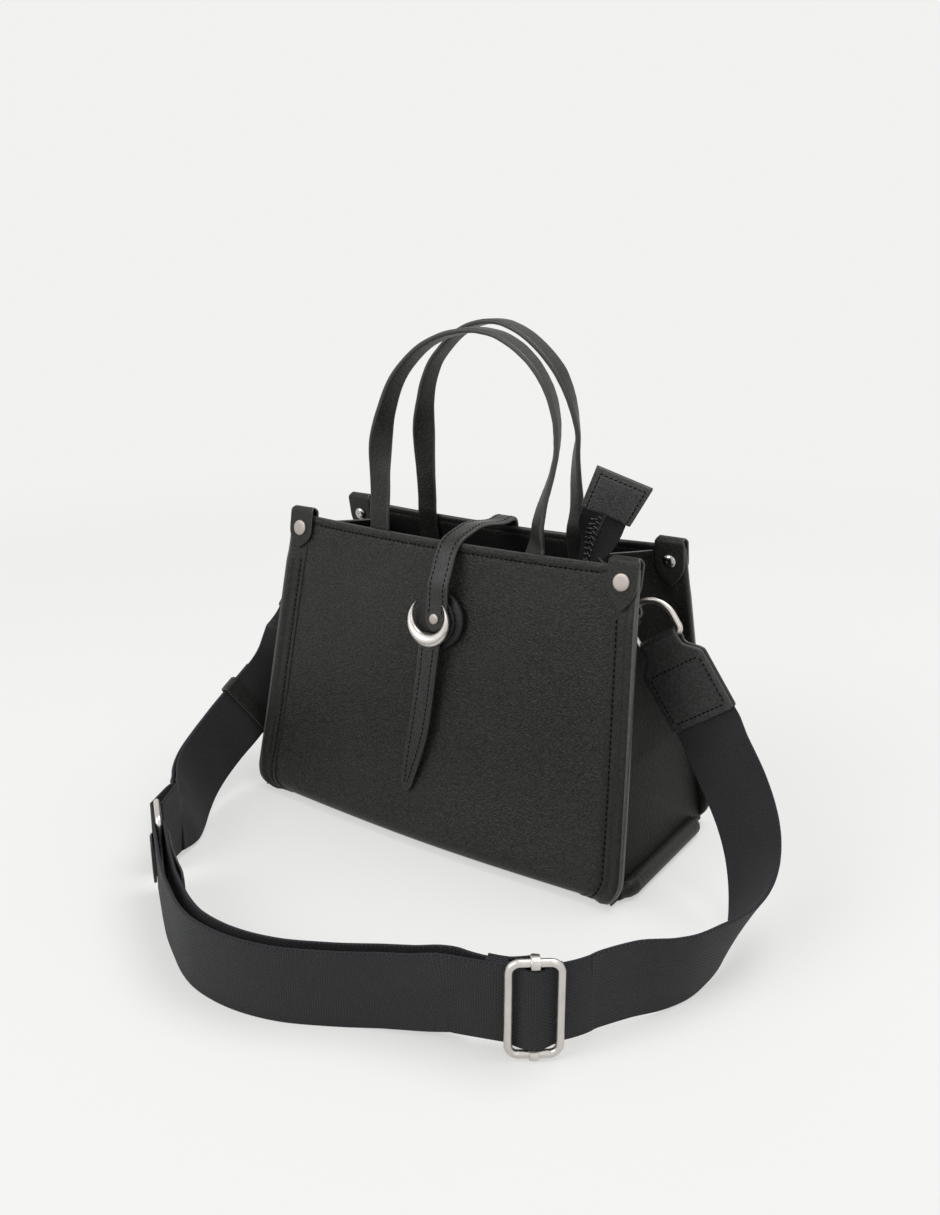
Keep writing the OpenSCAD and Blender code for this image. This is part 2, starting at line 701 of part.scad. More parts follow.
module zip_teeth_front() { color(dark_metal) zip_teeth(); }
module zip_teeth_back() { color(dark_metal) mirror([0, 1, 0]) zip_teeth(); }

// Zip tail: straight at its foot, where the slider runs, then untwisting up to its leather end
tail_up = [sin(tail_lean), 0, cos(tail_lean)];
tail_flat = [cos(tail_lean), 0, -sin(tail_lean)];
tail_across = tail_flat * cos(tail_turn) - [0, 1, 0] * sin(tail_turn);
tail_normal = cross(tail_across, tail_up);
tail_bend = tail_foot + tail_up * tail_straight_l;
end_up = [sin(end_tab_lean), 0, cos(end_tab_lean)];
end_across = [cos(end_tab_lean), 0, -sin(end_tab_lean)];
end_foot = tail_bend + (tail_up + end_up) / 2 * tail_twist_l;
tail_run = concat(
  [concat(tail_foot, tail_across)],
  curve([
    concat(tail_bend, tail_across),
    concat((tail_bend + end_foot) / 2, unit(tail_across + end_across)),
    concat(end_foot, end_across)
  ], 3),
  [concat(end_foot + end_up * end_tab_l * 0.7, end_across)]
);
slot_half_w = 1.2;
row_half_w = teeth_w / 2 + seat;
module zip_tail_tape() {
  strip = tape_half_w - row_half_w - seat;
  color(cloth) for (s = [-1, 1])
    whole_ribbon(tail_run, strip, tape_t, s * (tape_half_w - strip / 2));
}
module zip_tail_teeth() {
  strip = row_half_w - slot_half_w;
  color(dark_metal) for (s = [-1, 1])
    ribbon(tail_run, 0, len(tail_run) - 2, strip, teeth_t, s * (slot_half_w + strip / 2));
}
module zip_end_tab() {
  half_gap = teeth_t / 2 + seat;
  outline = [
    [-end_tab_w / 2, seat * 2], [end_tab_w / 2, seat * 2],
    [end_tab_top_w / 2, end_tab_l], [-end_tab_top_w / 2, end_tab_l]
  ];
  color(leather_edge) in_frame(end_foot, end_across, end_up, cross(end_across, end_up)) difference() {
    translate([0, 0, -half_gap - end_tab_t]) linear_extrude((half_gap + end_tab_t) * 2) polygon(outline);
    translate([-tape_half_w - seat, -over, -half_gap])
      cube([(tape_half_w + seat) * 2, end_tab_l * 0.7 + over + seat, half_gap * 2]);
  }
}

// Zip slider: frame at the tail's foot with x across, y up the tail and z out of its front
module on_tail() {
  in_frame(tail_foot, tail_across, tail_up, tail_normal) children();
}
slider_gap = teeth_t / 2 + seat;
slider_plate_t = 1.2;
post_foot_l = slider_foot_l + slider_plate_t;
bail_r = 1.3;
bail_n = slider_gap + slider_plate_t + bail_r + seat;
bail_l = slider_foot_l + zip_slider_l * 0.72;
pull_w = zip_slider_w * 0.6;
pull_t = 1.4;
module zip_slider() {
  rail = slider_plate_t;
  color(dark_metal) on_tail() {
    for (s = [0, 1]) mirror([0, 0, s]) {
      translate([-zip_slider_w / 2, slider_foot_l, slider_gap])
        cube([zip_slider_w, zip_slider_l, slider_plate_t]);
      for (a = [0, 1]) mirror([a, 0, 0])
        translate([zip_slider_w / 2 - rail, slider_foot_l, tape_t / 2 + seat])
          cube([rail, zip_slider_l, slider_gap - tape_t / 2]);
    }
    translate([0, post_foot_l, -slider_gap - slider_plate_t / 2])
      cylinder(r = slot_half_w - seat, h = slider_gap * 2 + slider_plate_t);
    for (s = [-1, 1])
      translate([s * (pull_w / 2 + seat + rail / 2) - rail / 2, bail_l - bail_r, slider_gap])
        cube([rail, bail_r * 2, slider_plate_t + seat + bail_r * 2]);
    translate([-pull_w / 2 - seat - rail / 2, bail_l, bail_n])
      rotate([0, 90, 0]) cylinder(r = bail_r / 2, h = pull_w + seat * 2 + rail);
  }
}
module zip_pull() {
  color(dark_metal) on_tail() difference() {
    union() {
      translate([-pull_w / 2, bail_l - zip_pull_l, bail_n - pull_t / 2]) cube([pull_w, zip_pull_l, pull_t]);
      translate([-pull_w / 2, bail_l, bail_n]) rotate([0, 90, 0]) cylinder(r = bail_r, h = pull_w);
    }
    translate([-pull_w / 2 - over, bail_l, bail_n])
      rotate([0, 90, 0]) cylinder(r = bail_r / 2 + seat / 4, h = pull_w + over * 2);
  }
}

d_top_z = bag_h - d_top_drop;
d_top_x = half_w(d_top_z) - d_top_inset;
// D rings: frame at the bow with x along the bar, y from the bar up to the bow, z to the back
module at_ring() {
  translate([d_top_x, 0, d_top_z]) rotate([0, -d_hang, 0]) rotate([90, 0, 0]) children();
}
d_leg_l = d_depth - d_bow_r;
d_corner_r = 3;
module d_ring() {
  bar_y = -d_depth;
  color(nickel) at_ring() {
    translate([0, -d_bow_r, 0]) rotate_extrude(angle = 180) translate([d_bow_r, 0]) circle(d_wire_r);
    for (s = [0, 1]) mirror([s, 0, 0]) {
      translate([d_bow_r, bar_y + d_corner_r, 0]) rotate([-90, 0, 0])
        cylinder(r = d_wire_r, h = d_leg_l - d_corner_r);
      translate([d_bow_r - d_corner_r, bar_y + d_corner_r, 0])
        rotate([0, 0, -90]) rotate_extrude(angle = 90) translate([d_corner_r, 0]) circle(d_wire_r);
    }
    translate([-d_bow_r + d_corner_r, bar_y, 0]) rotate([0, 90, 0])
      cylinder(r = d_wire_r, h = (d_bow_r - d_corner_r) * 2);
  }
}
module right_d_ring() { d_ring(); }
module left_d_ring() { mirror([1, 0, 0]) d_ring(); }

// Leather tab round the ring's bow, sewn into the gusset's fold
d_bow_sag = d_bow_r - sqrt(d_bow_r * d_bow_r - d_tab_w * d_tab_w / 4);
d_tab_hole_r = d_wire_r + d_bow_sag + seat;
module d_ring_tab() {
  foot_gap = chape_t * 1.8;
  low = d_top_z - d_tab_w / 2;
  high = d_top_z + d_tab_w / 2;
  color(leather) difference() {
    union() {
      at_ring() translate([-d_tab_w / 2, 0, 0]) rotate([0, 90, 0])
        cylinder(r = d_tab_hole_r + chape_t, h = d_tab_w);
      rotate([90, 0, 0]) translate([0, 0, -chape_t]) linear_extrude(chape_t * 2)
        polygon([
          [fold_x(low) + foot_gap, low],
          [d_top_x + d_tab_w / 3, low],
          [d_top_x - d_tab_w / 3, high],
          [fold_x(high) + foot_gap, high]
        ]);
    }
    at_ring() translate([-d_tab_w, 0, 0]) rotate([0, 90, 0]) cylinder(r = d_tab_hole_r, h = d_tab_w * 2);
  }
}
module right_d_ring_tab() { d_ring_tab(); }
module left_d_ring_tab() { mirror([1, 0, 0]) d_ring_tab(); }

// Chapes: leather folded round the D ring's bar, with the webbing's end between its two leaves
chape_gap = web_t / 2 + seat;
chape_hole_r = d_wire_r + seat;
// Outline of a leaf, half widths from the neck's and the body's, distances as shares of the shoulder's
module chape_leaf() {
  neck = chape_neck_w / 2;
  body = chape_w / 2;
  polygon([
    [-neck, 0], [neck, 0], [neck, -chape_shoulder_l * 0.45], [body, -chape_shoulder_l], [body, -chape_l],
    [-body, -chape_l], [-body, -chape_shoulder_l], [-neck, -chape_shoulder_l * 0.45]
  ]);
}
module chape() {
  color(leather) at_ring() translate([0, -d_depth, 0]) difference() {
    union() {
      for (s = [0, 1])
        mirror([0, 0, s]) translate([0, 0, chape_gap]) linear_extrude(chape_t) chape_leaf();
      translate([-chape_neck_w / 2, 0, 0]) rotate([0, 90, 0])
        cylinder(r = chape_hole_r + chape_t, h = chape_neck_w);
    }
    translate([-chape_w, 0, 0]) rotate([0, 90, 0]) cylinder(r = chape_hole_r, h = chape_w * 2);
  }
}
module right_chape() { chape(); }
module left_chape() { mirror([1, 0, 0]) chape(); }

// Shoulder strap: middle of the webbing and direction of its width, chosen by hand along its route
up = [0, 0, 1];
web_half = web_w / 2;
ring_down = [sin(d_hang), 0, -cos(d_hang)];
ring_across = [cos(d_hang), 0, sin(d_hang)];
ring_top = [d_top_x, 0, d_top_z];
function chape_station(share) =
  concat(ring_top + ring_down * (d_depth + chape_shoulder_l + (chape_l - chape_shoulder_l) * share),
    ring_across);
buckle_half_h = buckle_h / 2 - buckle_wire_r;
sleeve_r = buckle_wire_r + seat + lug_wall;
slider_z = buckle_half_h + sleeve_r;
ring_z = buckle_h / 2;

right_riser_route = [
  chape_station(0),
  chape_station(0.5),
  chape_station(1),
  chape_station(1.2),
  [155, -4, 78, 0.79, 0, 0.61],
  [166, -9, 65, 0.77, 0, 0.64],
  [176, -16, 53, 0.75, -0.04, 0.66],
  [184, -25, 42, 0.72, -0.08, 0.69],
  [190, -37, 33, 0.67, -0.12, 0.74],
  [194, -51, 26, 0.57, -0.15, 0.80],
  [196, -65, 22, 0.44, -0.17, 0.88],
  [195, -79, 20, 0.30, -0.16, 0.94]
];
right_floor_route = [
  [192, -93, 19.5, 0.19, -0.13, 0.97],
  [188, -106, 19.5, 0.12, -0.10, 0.99],
  [181, -119, 20.5, 0.05, -0.05, 1],
  [173, -132, 23, 0, 0, 1]
];
// The strap bends round an upright axis where the slider sits
bend_mid = [117, -133];
bend_r = 50.5;
slider_angle = -53;
bend_angles = [-18 : -6 : -96];
function around(a) = [cos(a), sin(a), 0];
function bend_point(a, r) = [bend_mid[0], bend_mid[1], slider_z] + around(a) * r;
front_floor_route = [
  [101, -187.5, 22.5, 0, 0, 1],
  [85, -197.5, 20, 0, 0, 1],
  [72, -205.5, 19, 0, 0, 1],
  [60, -212, 19, 0, 0, 1],
  [47, -218, 19, 0, 0, 1],
  [34, -222, 19, 0, 0, 1],
  [21, -224.5, 19, 0, 0, 1],
  [8, -225, 19, 0, 0, 1],
  [-5, -223.5, 19, 0, 0, 1],
  [-17, -219.5, 19, 0, 0, 1],
  [-28, -214, 19, 0, 0, 1],
  [-44.5, -205, 20, 0, 0, 1],
  [-61, -194, 22.5, 0, 0, 1]
];
// Left side, from above the keeper down to the strap ring
left_route = [
  [-143, -26, 63.5, -0.45, -0.43, 0.78],
  [-143, -38, 56.5, -0.36, -0.44, 0.82],
  [-143, -50, 49.5, -0.36, -0.44, 0.82],
  [-143, -62, 42.5, -0.36, -0.44, 0.82],
  [-143, -74, 35.5, -0.30, -0.43, 0.85],
  [-140, -89, 29, -0.27, -0.42, 0.86],
  [-135, -102, 24.5, -0.27, -0.40, 0.87],
  [-127, -114, 21.5, -0.24, -0.37, 0.90],
  [-118, -124, 20, -0.19, -0.30, 0.93],
  [-110, -134, 20, -0.15, -0.25, 0.96],
  [-104, -145, 22, -0.05, -0.10, 0.99]
];
left_upper_route = concat(
  [for (share = [0, 0.5, 1, 1.2])
    concat(mirror_x(head(chape_station(share))), mirror_x(tail(chape_station(share))))],
  [
    [-146, -7, 80, -0.70, -0.32, 0.63],
    [-144, -16, 71, -0.56, -0.39, 0.72]
  ]
);

// Strap ring: places of its two upright bars
ring_mid = [-87.5, -171.5];
ring_turn = -37;
ring_along = [cos(ring_turn), sin(ring_turn), 0];
ring_out = [sin(ring_turn), -cos(ring_turn), 0];
near_bar = [ring_mid[0], ring_mid[1], ring_z] + ring_along * buckle_l / 2;
far_bar = [ring_mid[0], ring_mid[1], ring_z] - ring_along * buckle_l / 2;
left_turn = -63;
left_along = [cos(left_turn), sin(left_turn), 0];
left_in = [-sin(left_turn), cos(left_turn), 0];
loop_r = buckle_wire_r + seat + web_t / 2;
// Half a turn round an upright bar, from the side given by the first direction past the second one
function half_turn(c, from, past, r) = [
  for (a = [0 : 22.5 : 180])
    concat(c + from * r * cos(a) + past * r * sin(a), up)
];

// The long webbing goes along the ground to the ring, round its near bar and back towards the slider
steps = 2;
outer_run = curve(concat(
  right_riser_route,
  right_floor_route,
  [for (a = bend_angles) concat(bend_point(a, bend_r), up)],
  front_floor_route
), steps);
outer_count = len(outer_run);
// How many spans of the route hang free between the chape and the ground
riser_spans = 8;
riser_end = steps * riser_spans;
bend_start = steps * (len(right_riser_route) + len(right_floor_route));
// How many of the bend's steps the inner layer leaves out, and how many lie before the free run
inner_lead = 8;
free_lead = 12;
inner_end = bend_start + steps * inner_lead;
bend_end = bend_start + steps * free_lead;
layer_gap = web_t + seat;
open_gap = 6.2;
function inner_gap(i) =
  let (leave = min(1, max(0, i - bend_end) / 10), arrive = min(1, (outer_count - 1 - i) / 6))
  layer_gap * 2 + (open_gap - layer_gap * 2) * leave - (open_gap - loop_r * 2) * (1 - arrive);
inner_run = [for (i = [outer_count - 1 : -1 : inner_end]) beside(outer_run, i, -inner_gap(i))];
long_run = concat(
  outer_run,
  half_turn(near_bar, ring_out, -ring_along, loop_r),
  inner_run
);
module right_strap_riser() { color(webbing) ribbon(long_run, 0, riser_end, web_w, web_t); }
module long_webbing() {
  color(webbing) ribbon(long_run, riser_end, len(long_run) - 1, web_w, web_t, 0, seat);
}

// The long webbing's end: folded round the slider's bar, with the inner layer between its two leaves
leaf_angle_step = 3;
slider_out = around(slider_angle);
slider_along = [sin(slider_angle), -cos(slider_angle), 0];
bar_loop_r = slider_bar_r + seat + web_t / 2;
outer_leaf_r = bend_r - layer_gap;
bar_mid_r = outer_leaf_r - bar_loop_r;
inner_leaf_r = bend_r - layer_gap * 3;
leaf_angles = [leaf_angle_step : leaf_angle_step : fold_end_angle];
// The inner leaf closes in on the inner layer within a few degrees of the bar
function inner_leaf_at(a) =
  let (share = min(1, a / 12))
  (bar_mid_r - bar_loop_r) * (1 - share) + inner_leaf_r * share;
fold_run = concat(
  [for (a = [fold_end_angle : -leaf_angle_step : leaf_angle_step])
    concat(bend_point(slider_angle - a, outer_leaf_r), up)],
  half_turn(bend_point(slider_angle, bar_mid_r), slider_out, -slider_along, bar_loop_r),
  [for (a = leaf_angles) concat(bend_point(slider_angle - a, inner_leaf_at(a)), up)]
);
module webbing_fold_end() { color(webbing) whole_ribbon(fold_run, web_w, web_t); }

// Left side: the short webbing goes round the ring's far bar and back outside through the keeper
left_steps = 3;
left_run = curve(concat(left_upper_route, left_route), left_steps);
left_riser_end = left_steps * len(left_upper_route);
band_start = left_riser_end + 2;
keeper_station = left_riser_end + left_steps * 2;
left_count = len(left_run);
band_open_gap = 4.5;
function band_gap(i) =
  layer_gap + (band_open_gap - layer_gap)
    * pow(max(0, (i - keeper_station - left_steps) / (left_count - 1 - keeper_station - left_steps)), 2);
band_run = [for (i = [left_count - 1 : -1 : band_start]) beside(left_run, i, -band_gap(i))];
short_run = concat(
  left_run,
  half_turn(far_bar, left_in, left_along, loop_r),
  band_run
);
module left_strap_riser() { color(webbing) ribbon(short_run, 0, left_riser_end, web_w, web_t); }
module short_webbing() {
  color(webbing) ribbon(short_run, left_riser_end, len(short_run) - 1, web_w, web_t, 0, seat);
}

// Keeper: a leather band round both layers
keeper_room = seat * 2;
module keeper() {
  t = station_t(left_run, keeper_station);
  w = station_w(left_run, keeper_station);
  n = cross(t, w);
  c = head(left_run[keeper_station]) + n * layer_gap / 2;
  half_h = web_half + keeper_room;
  half_n = layer_gap / 2 + web_t / 2 + keeper_room;
  color(leather_edge) in_frame(c, w, n, t) difference() {
    translate([-half_h - keeper_t, -half_n - keeper_t, -keeper_l / 2])
      cube([(half_h + keeper_t) * 2, (half_n + keeper_t) * 2, keeper_l]);
    translate([-half_h, -half_n, -keeper_l / 2 - over]) cube([half_h * 2, half_n * 2, keeper_l + over * 2]);
  }
}

// Wire frame with round corners: x along the strap, y up, z outwards
buckle_corner_r = 2.6;
module wire_frame(half_l, half_h) {
  for (s = [-1, 1]) {
    translate([s * half_l, -half_h + buckle_corner_r, 0])
      rotate([-90, 0, 0]) cylinder(r = buckle_wire_r, h = (half_h - buckle_corner_r) * 2);
    translate([-half_l + buckle_corner_r, s * half_h, 0])
      rotate([0, 90, 0]) cylinder(r = buckle_wire_r, h = (half_l - buckle_corner_r) * 2);
  }
  for (a = [0, 1]) for (b = [0, 1])
    mirror([a, 0, 0]) mirror([0, b, 0])
      translate([half_l - buckle_corner_r, half_h - buckle_corner_r, 0])
        rotate_extrude(angle = 90) translate([buckle_corner_r, 0]) circle(buckle_wire_r);
}
frame_gap = web_t / 2 + seat + buckle_wire_r;
module at_slider() {
  in_frame(bend_point(slider_angle, bend_r + frame_gap), -slider_along, up, slider_out) children();
}
module slider_frame() { color(nickel) at_slider() wire_frame(buckle_l / 2, buckle_half_h); }
sleeve_l = slider_bar_r * 4;
lug_t = slider_bar_r * 1.4;
module slider_bar() {
  back = bend_r + frame_gap - bar_mid_r;
  color(nickel) at_slider() {
    for (s = [-1, 1]) difference() {
      union() {
        translate([-sleeve_l / 2, s * buckle_half_h, 0]) rotate([0, 90, 0])
          cylinder(r = sleeve_r, h = sleeve_l);
        translate([-slider_bar_r, s * buckle_half_h - lug_t / 2, -back])
          cube([slider_bar_r * 2, lug_t, back]);
      }
      translate([-sleeve_l, s * buckle_half_h, 0]) rotate([0, 90, 0])
        cylinder(r = buckle_wire_r + seat, h = sleeve_l * 2);
      translate([-sleeve_l, -web_half - seat, -back * 2])
        cube([sleeve_l * 2, (web_half + seat) * 2, back * 4]);
    }
    translate([0, -buckle_half_h - lug_t / 2, -back]) rotate([-90, 0, 0])
      cylinder(r = slider_bar_r, h = buckle_half_h * 2 + lug_t);
  }
}
module strap_ring() {
  color(nickel) in_frame([ring_mid[0], ring_mid[1], ring_z], ring_along, up, -ring_out)
    wire_frame(buckle_l / 2, buckle_half_h);
}
// Leather tab folded round the webbing's loop at the ring's near bar
tab_loop_r = loop_r + web_t / 2 + seat + ring_tab_t / 2;
function tab_leg(side, reach, spread) = [
  for (k = [0.25 : 0.25 : 1])
    concat(near_bar + ring_out * side * (tab_loop_r + spread * k * k) + ring_along * reach * k, up)
];
outer_leg_l = 30;
inner_leg_l = 40;
outer_leg_spread = -0.6;
inner_leg_spread = 7;
module ring_tab() {
  color(leather_edge) whole_ribbon(concat(
    backwards(tab_leg(1, outer_leg_l, outer_leg_spread)),
    half_turn(near_bar, ring_out, -ring_along, tab_loop_r),
    tab_leg(-1, inner_leg_l, inner_leg_spread)
  ), ring_tab_w, ring_tab_t);
}

front_panel();
back_panel();
left_gusset();
right_gusset();
base_panel();
base_board();
lining();
front_bindings();
back_bindings();
base_piping();
front_left_corner_tab();
front_right_corner_tab();
back_left_corner_tab();
back_right_corner_tab();
corner_rivets();
front_handle();
front_handle_ends();
back_handle();
back_handle_ends();
closure_strap();
closure_strap_base();
closure_backing();
closure_tab();
crescent();
closure_rivet();
snap_puck();
snap_magnet_fixed();
snap_magnet_moving();
zip_tape_front();
zip_tape_back();
zip_teeth_front();
zip_teeth_back();
zip_tail_tape();
zip_tail_teeth();
zip_end_tab();
zip_slider();
zip_pull();
left_d_ring();
right_d_ring();
left_d_ring_tab();
right_d_ring_tab();
left_chape();
right_chape();
left_strap_riser();
right_strap_riser();
short_webbing();
long_webbing();
webbing_fold_end();
slider_frame();
slider_bar();
strap_ring();
ring_tab();
keeper();
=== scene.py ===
import math

import bpy
import numpy as np
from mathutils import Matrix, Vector

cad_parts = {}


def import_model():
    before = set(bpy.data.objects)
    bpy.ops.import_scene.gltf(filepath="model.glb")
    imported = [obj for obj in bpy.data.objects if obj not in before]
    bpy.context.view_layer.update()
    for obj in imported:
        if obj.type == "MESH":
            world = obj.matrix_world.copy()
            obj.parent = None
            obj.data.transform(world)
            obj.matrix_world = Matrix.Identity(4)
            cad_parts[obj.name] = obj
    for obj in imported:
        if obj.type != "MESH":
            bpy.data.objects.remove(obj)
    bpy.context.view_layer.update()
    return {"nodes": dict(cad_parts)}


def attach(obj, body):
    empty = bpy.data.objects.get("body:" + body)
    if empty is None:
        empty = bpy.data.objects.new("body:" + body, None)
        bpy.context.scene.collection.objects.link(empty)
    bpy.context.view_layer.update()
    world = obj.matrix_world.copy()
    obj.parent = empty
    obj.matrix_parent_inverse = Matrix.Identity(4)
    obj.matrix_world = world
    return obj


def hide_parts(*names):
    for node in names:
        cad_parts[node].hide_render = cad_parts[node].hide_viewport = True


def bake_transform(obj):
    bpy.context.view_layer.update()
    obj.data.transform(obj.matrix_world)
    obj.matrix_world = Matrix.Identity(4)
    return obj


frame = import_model()
MM = 0.001
TINY = 1e-9

# Sizes, as in the CAD source, in millimetres
BOTTOM_W, TOP_W = 259, 231
BOTTOM_D, TOP_D = 118, 54
BAG_H = 180
EDGE_DROP = 5
PANEL_T = 2.4
CORNER_R = 18
SEAT = 0.3
GUSSET_T = 1.6
GUSSET_INSET = 5
GUSSET_TOP_Z = 171
FOLD_Z = 70
FOLD_TOP_X = 80
LINING_TOP_Z = 148
RIVET_DROP = 13
TAB_T = 1.4
CHAPE_T = 1.6
TAPE_T = 0.8
WEB_W, WEB_T = 38, 1.4
GAP = WEB_T + SEAT
STRAP_N = 6.5

# Sizes measured again on the photo, which the visual model alone has
HANDLE_W, HANDLE_T = 13.6, 3.0
CLOSURE_W, CLOSURE_T = 14.0, 2.6

LEAN_IN = (BOTTOM_D - TOP_D) / 2
SLOPE = math.atan(LEAN_IN / BAG_H)
TOP_L = BAG_H / math.cos(SLOPE)
PANEL_L = (BAG_H - EDGE_DROP) / math.cos(SLOPE)
PANEL_TOP_HALF = (BOTTOM_W + (TOP_W - BOTTOM_W) * PANEL_L / TOP_L) / 2
TAB_X = PANEL_TOP_HALF - 8.5
RIVET_L = TOP_L - RIVET_DROP
CRESCENT_L = 130 / math.cos(SLOPE)
SIDES = ((-1, "front"), (1, "back"))
UP = (0, 0, 1)


def half_d(z):
    return BOTTOM_D / 2 - LEAN_IN * z / BAG_H


def half_w(z):
    return BOTTOM_W / 2 - (BOTTOM_W - TOP_W) / 2 * z / BAG_H


def gusset_x(z):
    return half_w(z) - GUSSET_INSET


def inner_y(z):
    return half_d(z) - PANEL_T / math.cos(SLOPE) - SEAT


def vec(*v):
    return np.array(v, float)


def unit(v):
    v = np.asarray(v, float)
    return v / np.linalg.norm(v, axis=-1, keepdims=True)


def around(degrees):
    return vec(math.cos(math.radians(degrees)), math.sin(math.radians(degrees)), 0)


def smooth(t):
    """0 up to 0, 1 from 1 on, and an even ease between them."""
    t = min(1.0, max(0.0, t))
    return t * t * (3 - 2 * t)


def bell(t):
    return math.exp(-t * t)


def curve(points, steps):
    """The CAD source's smooth curve through the points, with a number of steps from each to the next."""
    p = [np.asarray(v, float) for v in points]
    out = []
    for i in range(len(p) - 1):
        a, b, c, d = p[max(i - 1, 0)], p[i], p[i + 1], p[min(i + 2, len(p) - 1)]
        for t in np.arange(steps) / steps:
            cubic = (a * 2 - b * 5 + c * 4 - d) * t**2 + (b * 3 - a - c * 3 + d) * t**3
            out.append((b * 2 + (c - a) * t + cubic) / 2)
    out.append(p[-1])
    return out


def lengths(points, axis=0):
    """The length run since the start of each line of points along an axis."""
    steps = np.linalg.norm(np.diff(points, axis=axis), axis=-1)
    start = np.zeros_like(np.take(steps, [0], axis=axis))
    return np.concatenate([start, np.cumsum(steps, axis=axis)], axis=axis)


def between(at, run, rows):
    """The row of three numbers that belongs to a length, between the rows given for the lengths in run."""
    return np.array([np.interp(at, run, rows[:, k]) for k in range(3)])


# Materials
class Graph:
    """A node tree, with a short word for each kind of node that the materials use."""

    def __init__(self, tree):
        self.tree = tree
        tree.nodes.clear()

    def feed(self, node, inputs):
        for key, value in inputs.items():
            if isinstance(value, bpy.types.NodeSocket):
                self.tree.links.new(value, node.inputs[key])
            else:
                node.inputs[key].default_value = value
        return node

    def put(self, kind, inputs=None, **settings):
        node = self.tree.nodes.new("ShaderNode" + kind)
        for key, value in settings.items():
            setattr(node, key, value)
        return self.feed(node, inputs or {})

    def math(self, operation, *values):
        return self.put("Math", dict(enumerate(values)), operation=operation).outputs[0]

    def noise(self, scale, detail=3.0, roughness=0.5):
        inputs = {"Vector": self.place, "Scale": scale, "Detail": detail, "Roughness": roughness}
        return self.put("TexNoise", inputs).outputs

    def ramp(self, value, low, high, dark, light):
        node = self.put("ValToRGB", {0: value})
        for element, position, colour in zip(node.color_ramp.elements, (low, high), (dark, light)):
            element.position = position
            element.color = (*colour, 1)
        return node.outputs[0]

    def bump(self, height, distance, strength, after=None):
        inputs = {"Height": height, "Distance": distance, "Strength": strength}
        if after is not None:
            inputs["Normal"] = after
        return self.put("Bump", inputs).outputs[0]


def surface(name):
    """A new material, its graph with the place that its patterns follow, and its shader."""
    material = bpy.data.materials.new(name)
    material.use_nodes = True
    g = Graph(material.node_tree)
    shader = g.put("BsdfPrincipled")
    g.feed(g.put("OutputMaterial"), {0: shader.outputs[0]})
    g.place = g.put("TexCoord").outputs["Object"]
    return material, g, shader


def leather(name, dark, light, rough, grain=1.0, cell=1180.0, crease=0.0, shine=0.3):
    """Pebbled leather: rounded cells of grain, a finer grain on them, soft mottling, and edges lightened
    partly as wear and partly as painted highlight, with hollows darkened as painted shade.
    """
    material, g, shader = surface(name)
    warp = g.noise(260.0, 2.0)["Color"]
    moved = g.put("MixRGB", {0: 0.0012, 1: g.place, 2: warp}, blend_type="ADD").outputs[0]
    cells = g.put("TexVoronoi", {"Vector": moved, "Scale": cell}, feature="SMOOTH_F1").outputs[0]
    fine = g.noise(2600.0)[0]
    mottle = g.noise(480.0, 4.0)[0]
    broad = g.noise(14.0, 4.0)[0]
    # pointiness lightens convex edges, partly as wear and partly as painted highlight, and darkens creases
    # and hollows as painted shade
    edge_wear_and_light = g.put("NewGeometry").outputs["Pointiness"]
    tone = -1.19
    for value, share in ((broad, 0.35), (cells, 0.85), (mottle, 0.6), (edge_wear_and_light, 1.8)):
        tone = g.math("MULTIPLY_ADD", value, share, tone)
    normal = g.bump(g.math("SUBTRACT", 1.0, cells), 0.00052 * grain, 0.95)
    normal = g.bump(mottle, 0.00008 * grain, 0.6, normal)
    normal = g.bump(fine, 0.00006 * grain, 0.5, normal)
    if crease:
        normal = g.bump(g.noise(45.0, 5.0, 0.65)[0], 0.0014 * crease, 0.6, normal)
    g.feed(shader, {
        "Base Color": g.ramp(tone, 0.28, 0.74, dark, light),
        "Roughness": g.math("MULTIPLY_ADD", mottle, 0.16, rough - 0.08),
        "Specular IOR Level": shine,
        "Normal": normal})
    return material


def paint(name, colour, rough):
    """Edge paint or plastic, with a faint unevenness."""
    material, g, shader = surface(name)
    noise = g.noise(420.0)[0]
    g.feed(shader, {
        "Base Color": g.ramp(noise, 0.35, 0.75, colour, [c * 1.5 for c in colour]),
        "Roughness": g.math("MULTIPLY_ADD", noise, 0.2, rough - 0.1),
        "Normal": g.bump(noise, 0.00012, 0.6)})
    return material


def woven(name, dark, light, pitch_u, pitch_v, depth, rough=0.75, sheen=0.06, ribs=0.5, shine=0.2):
    """A plain weave that follows the strap's own lengths, kept in the UV map in metres."""
    material, g, shader = surface(name)
    parts = g.put("SeparateXYZ", {0: g.put("UVMap").outputs[0]}).outputs
    noise = g.noise(900.0)[0]
    blotch = g.noise(60.0)[0]
    shift = g.math("MULTIPLY_ADD", noise, 0.8, -0.4)
    waves = [g.math("SINE", g.math("MULTIPLY_ADD", parts[k], math.pi / pitch, shift))
             for k, pitch in enumerate((pitch_u, pitch_v))]
    rib = g.math("MULTIPLY", g.math("ABSOLUTE", waves[0]), ribs)
    height = g.math("MULTIPLY_ADD", g.math("MULTIPLY", *waves), 0.5, rib)
    uneven = g.math("MULTIPLY", g.math("ADD", noise, blotch), 0.3)
    g.feed(shader, {
        "Base Color": g.ramp(g.math("MULTIPLY_ADD", height, 0.6, uneven), 0.1, 0.85, dark, light),
        "Normal": g.bump(height, depth, 0.9),
        "Roughness": rough,
        "Specular IOR Level": shine,
        "Sheen Weight": sheen,
        "Sheen Roughness": 0.4})
    return material


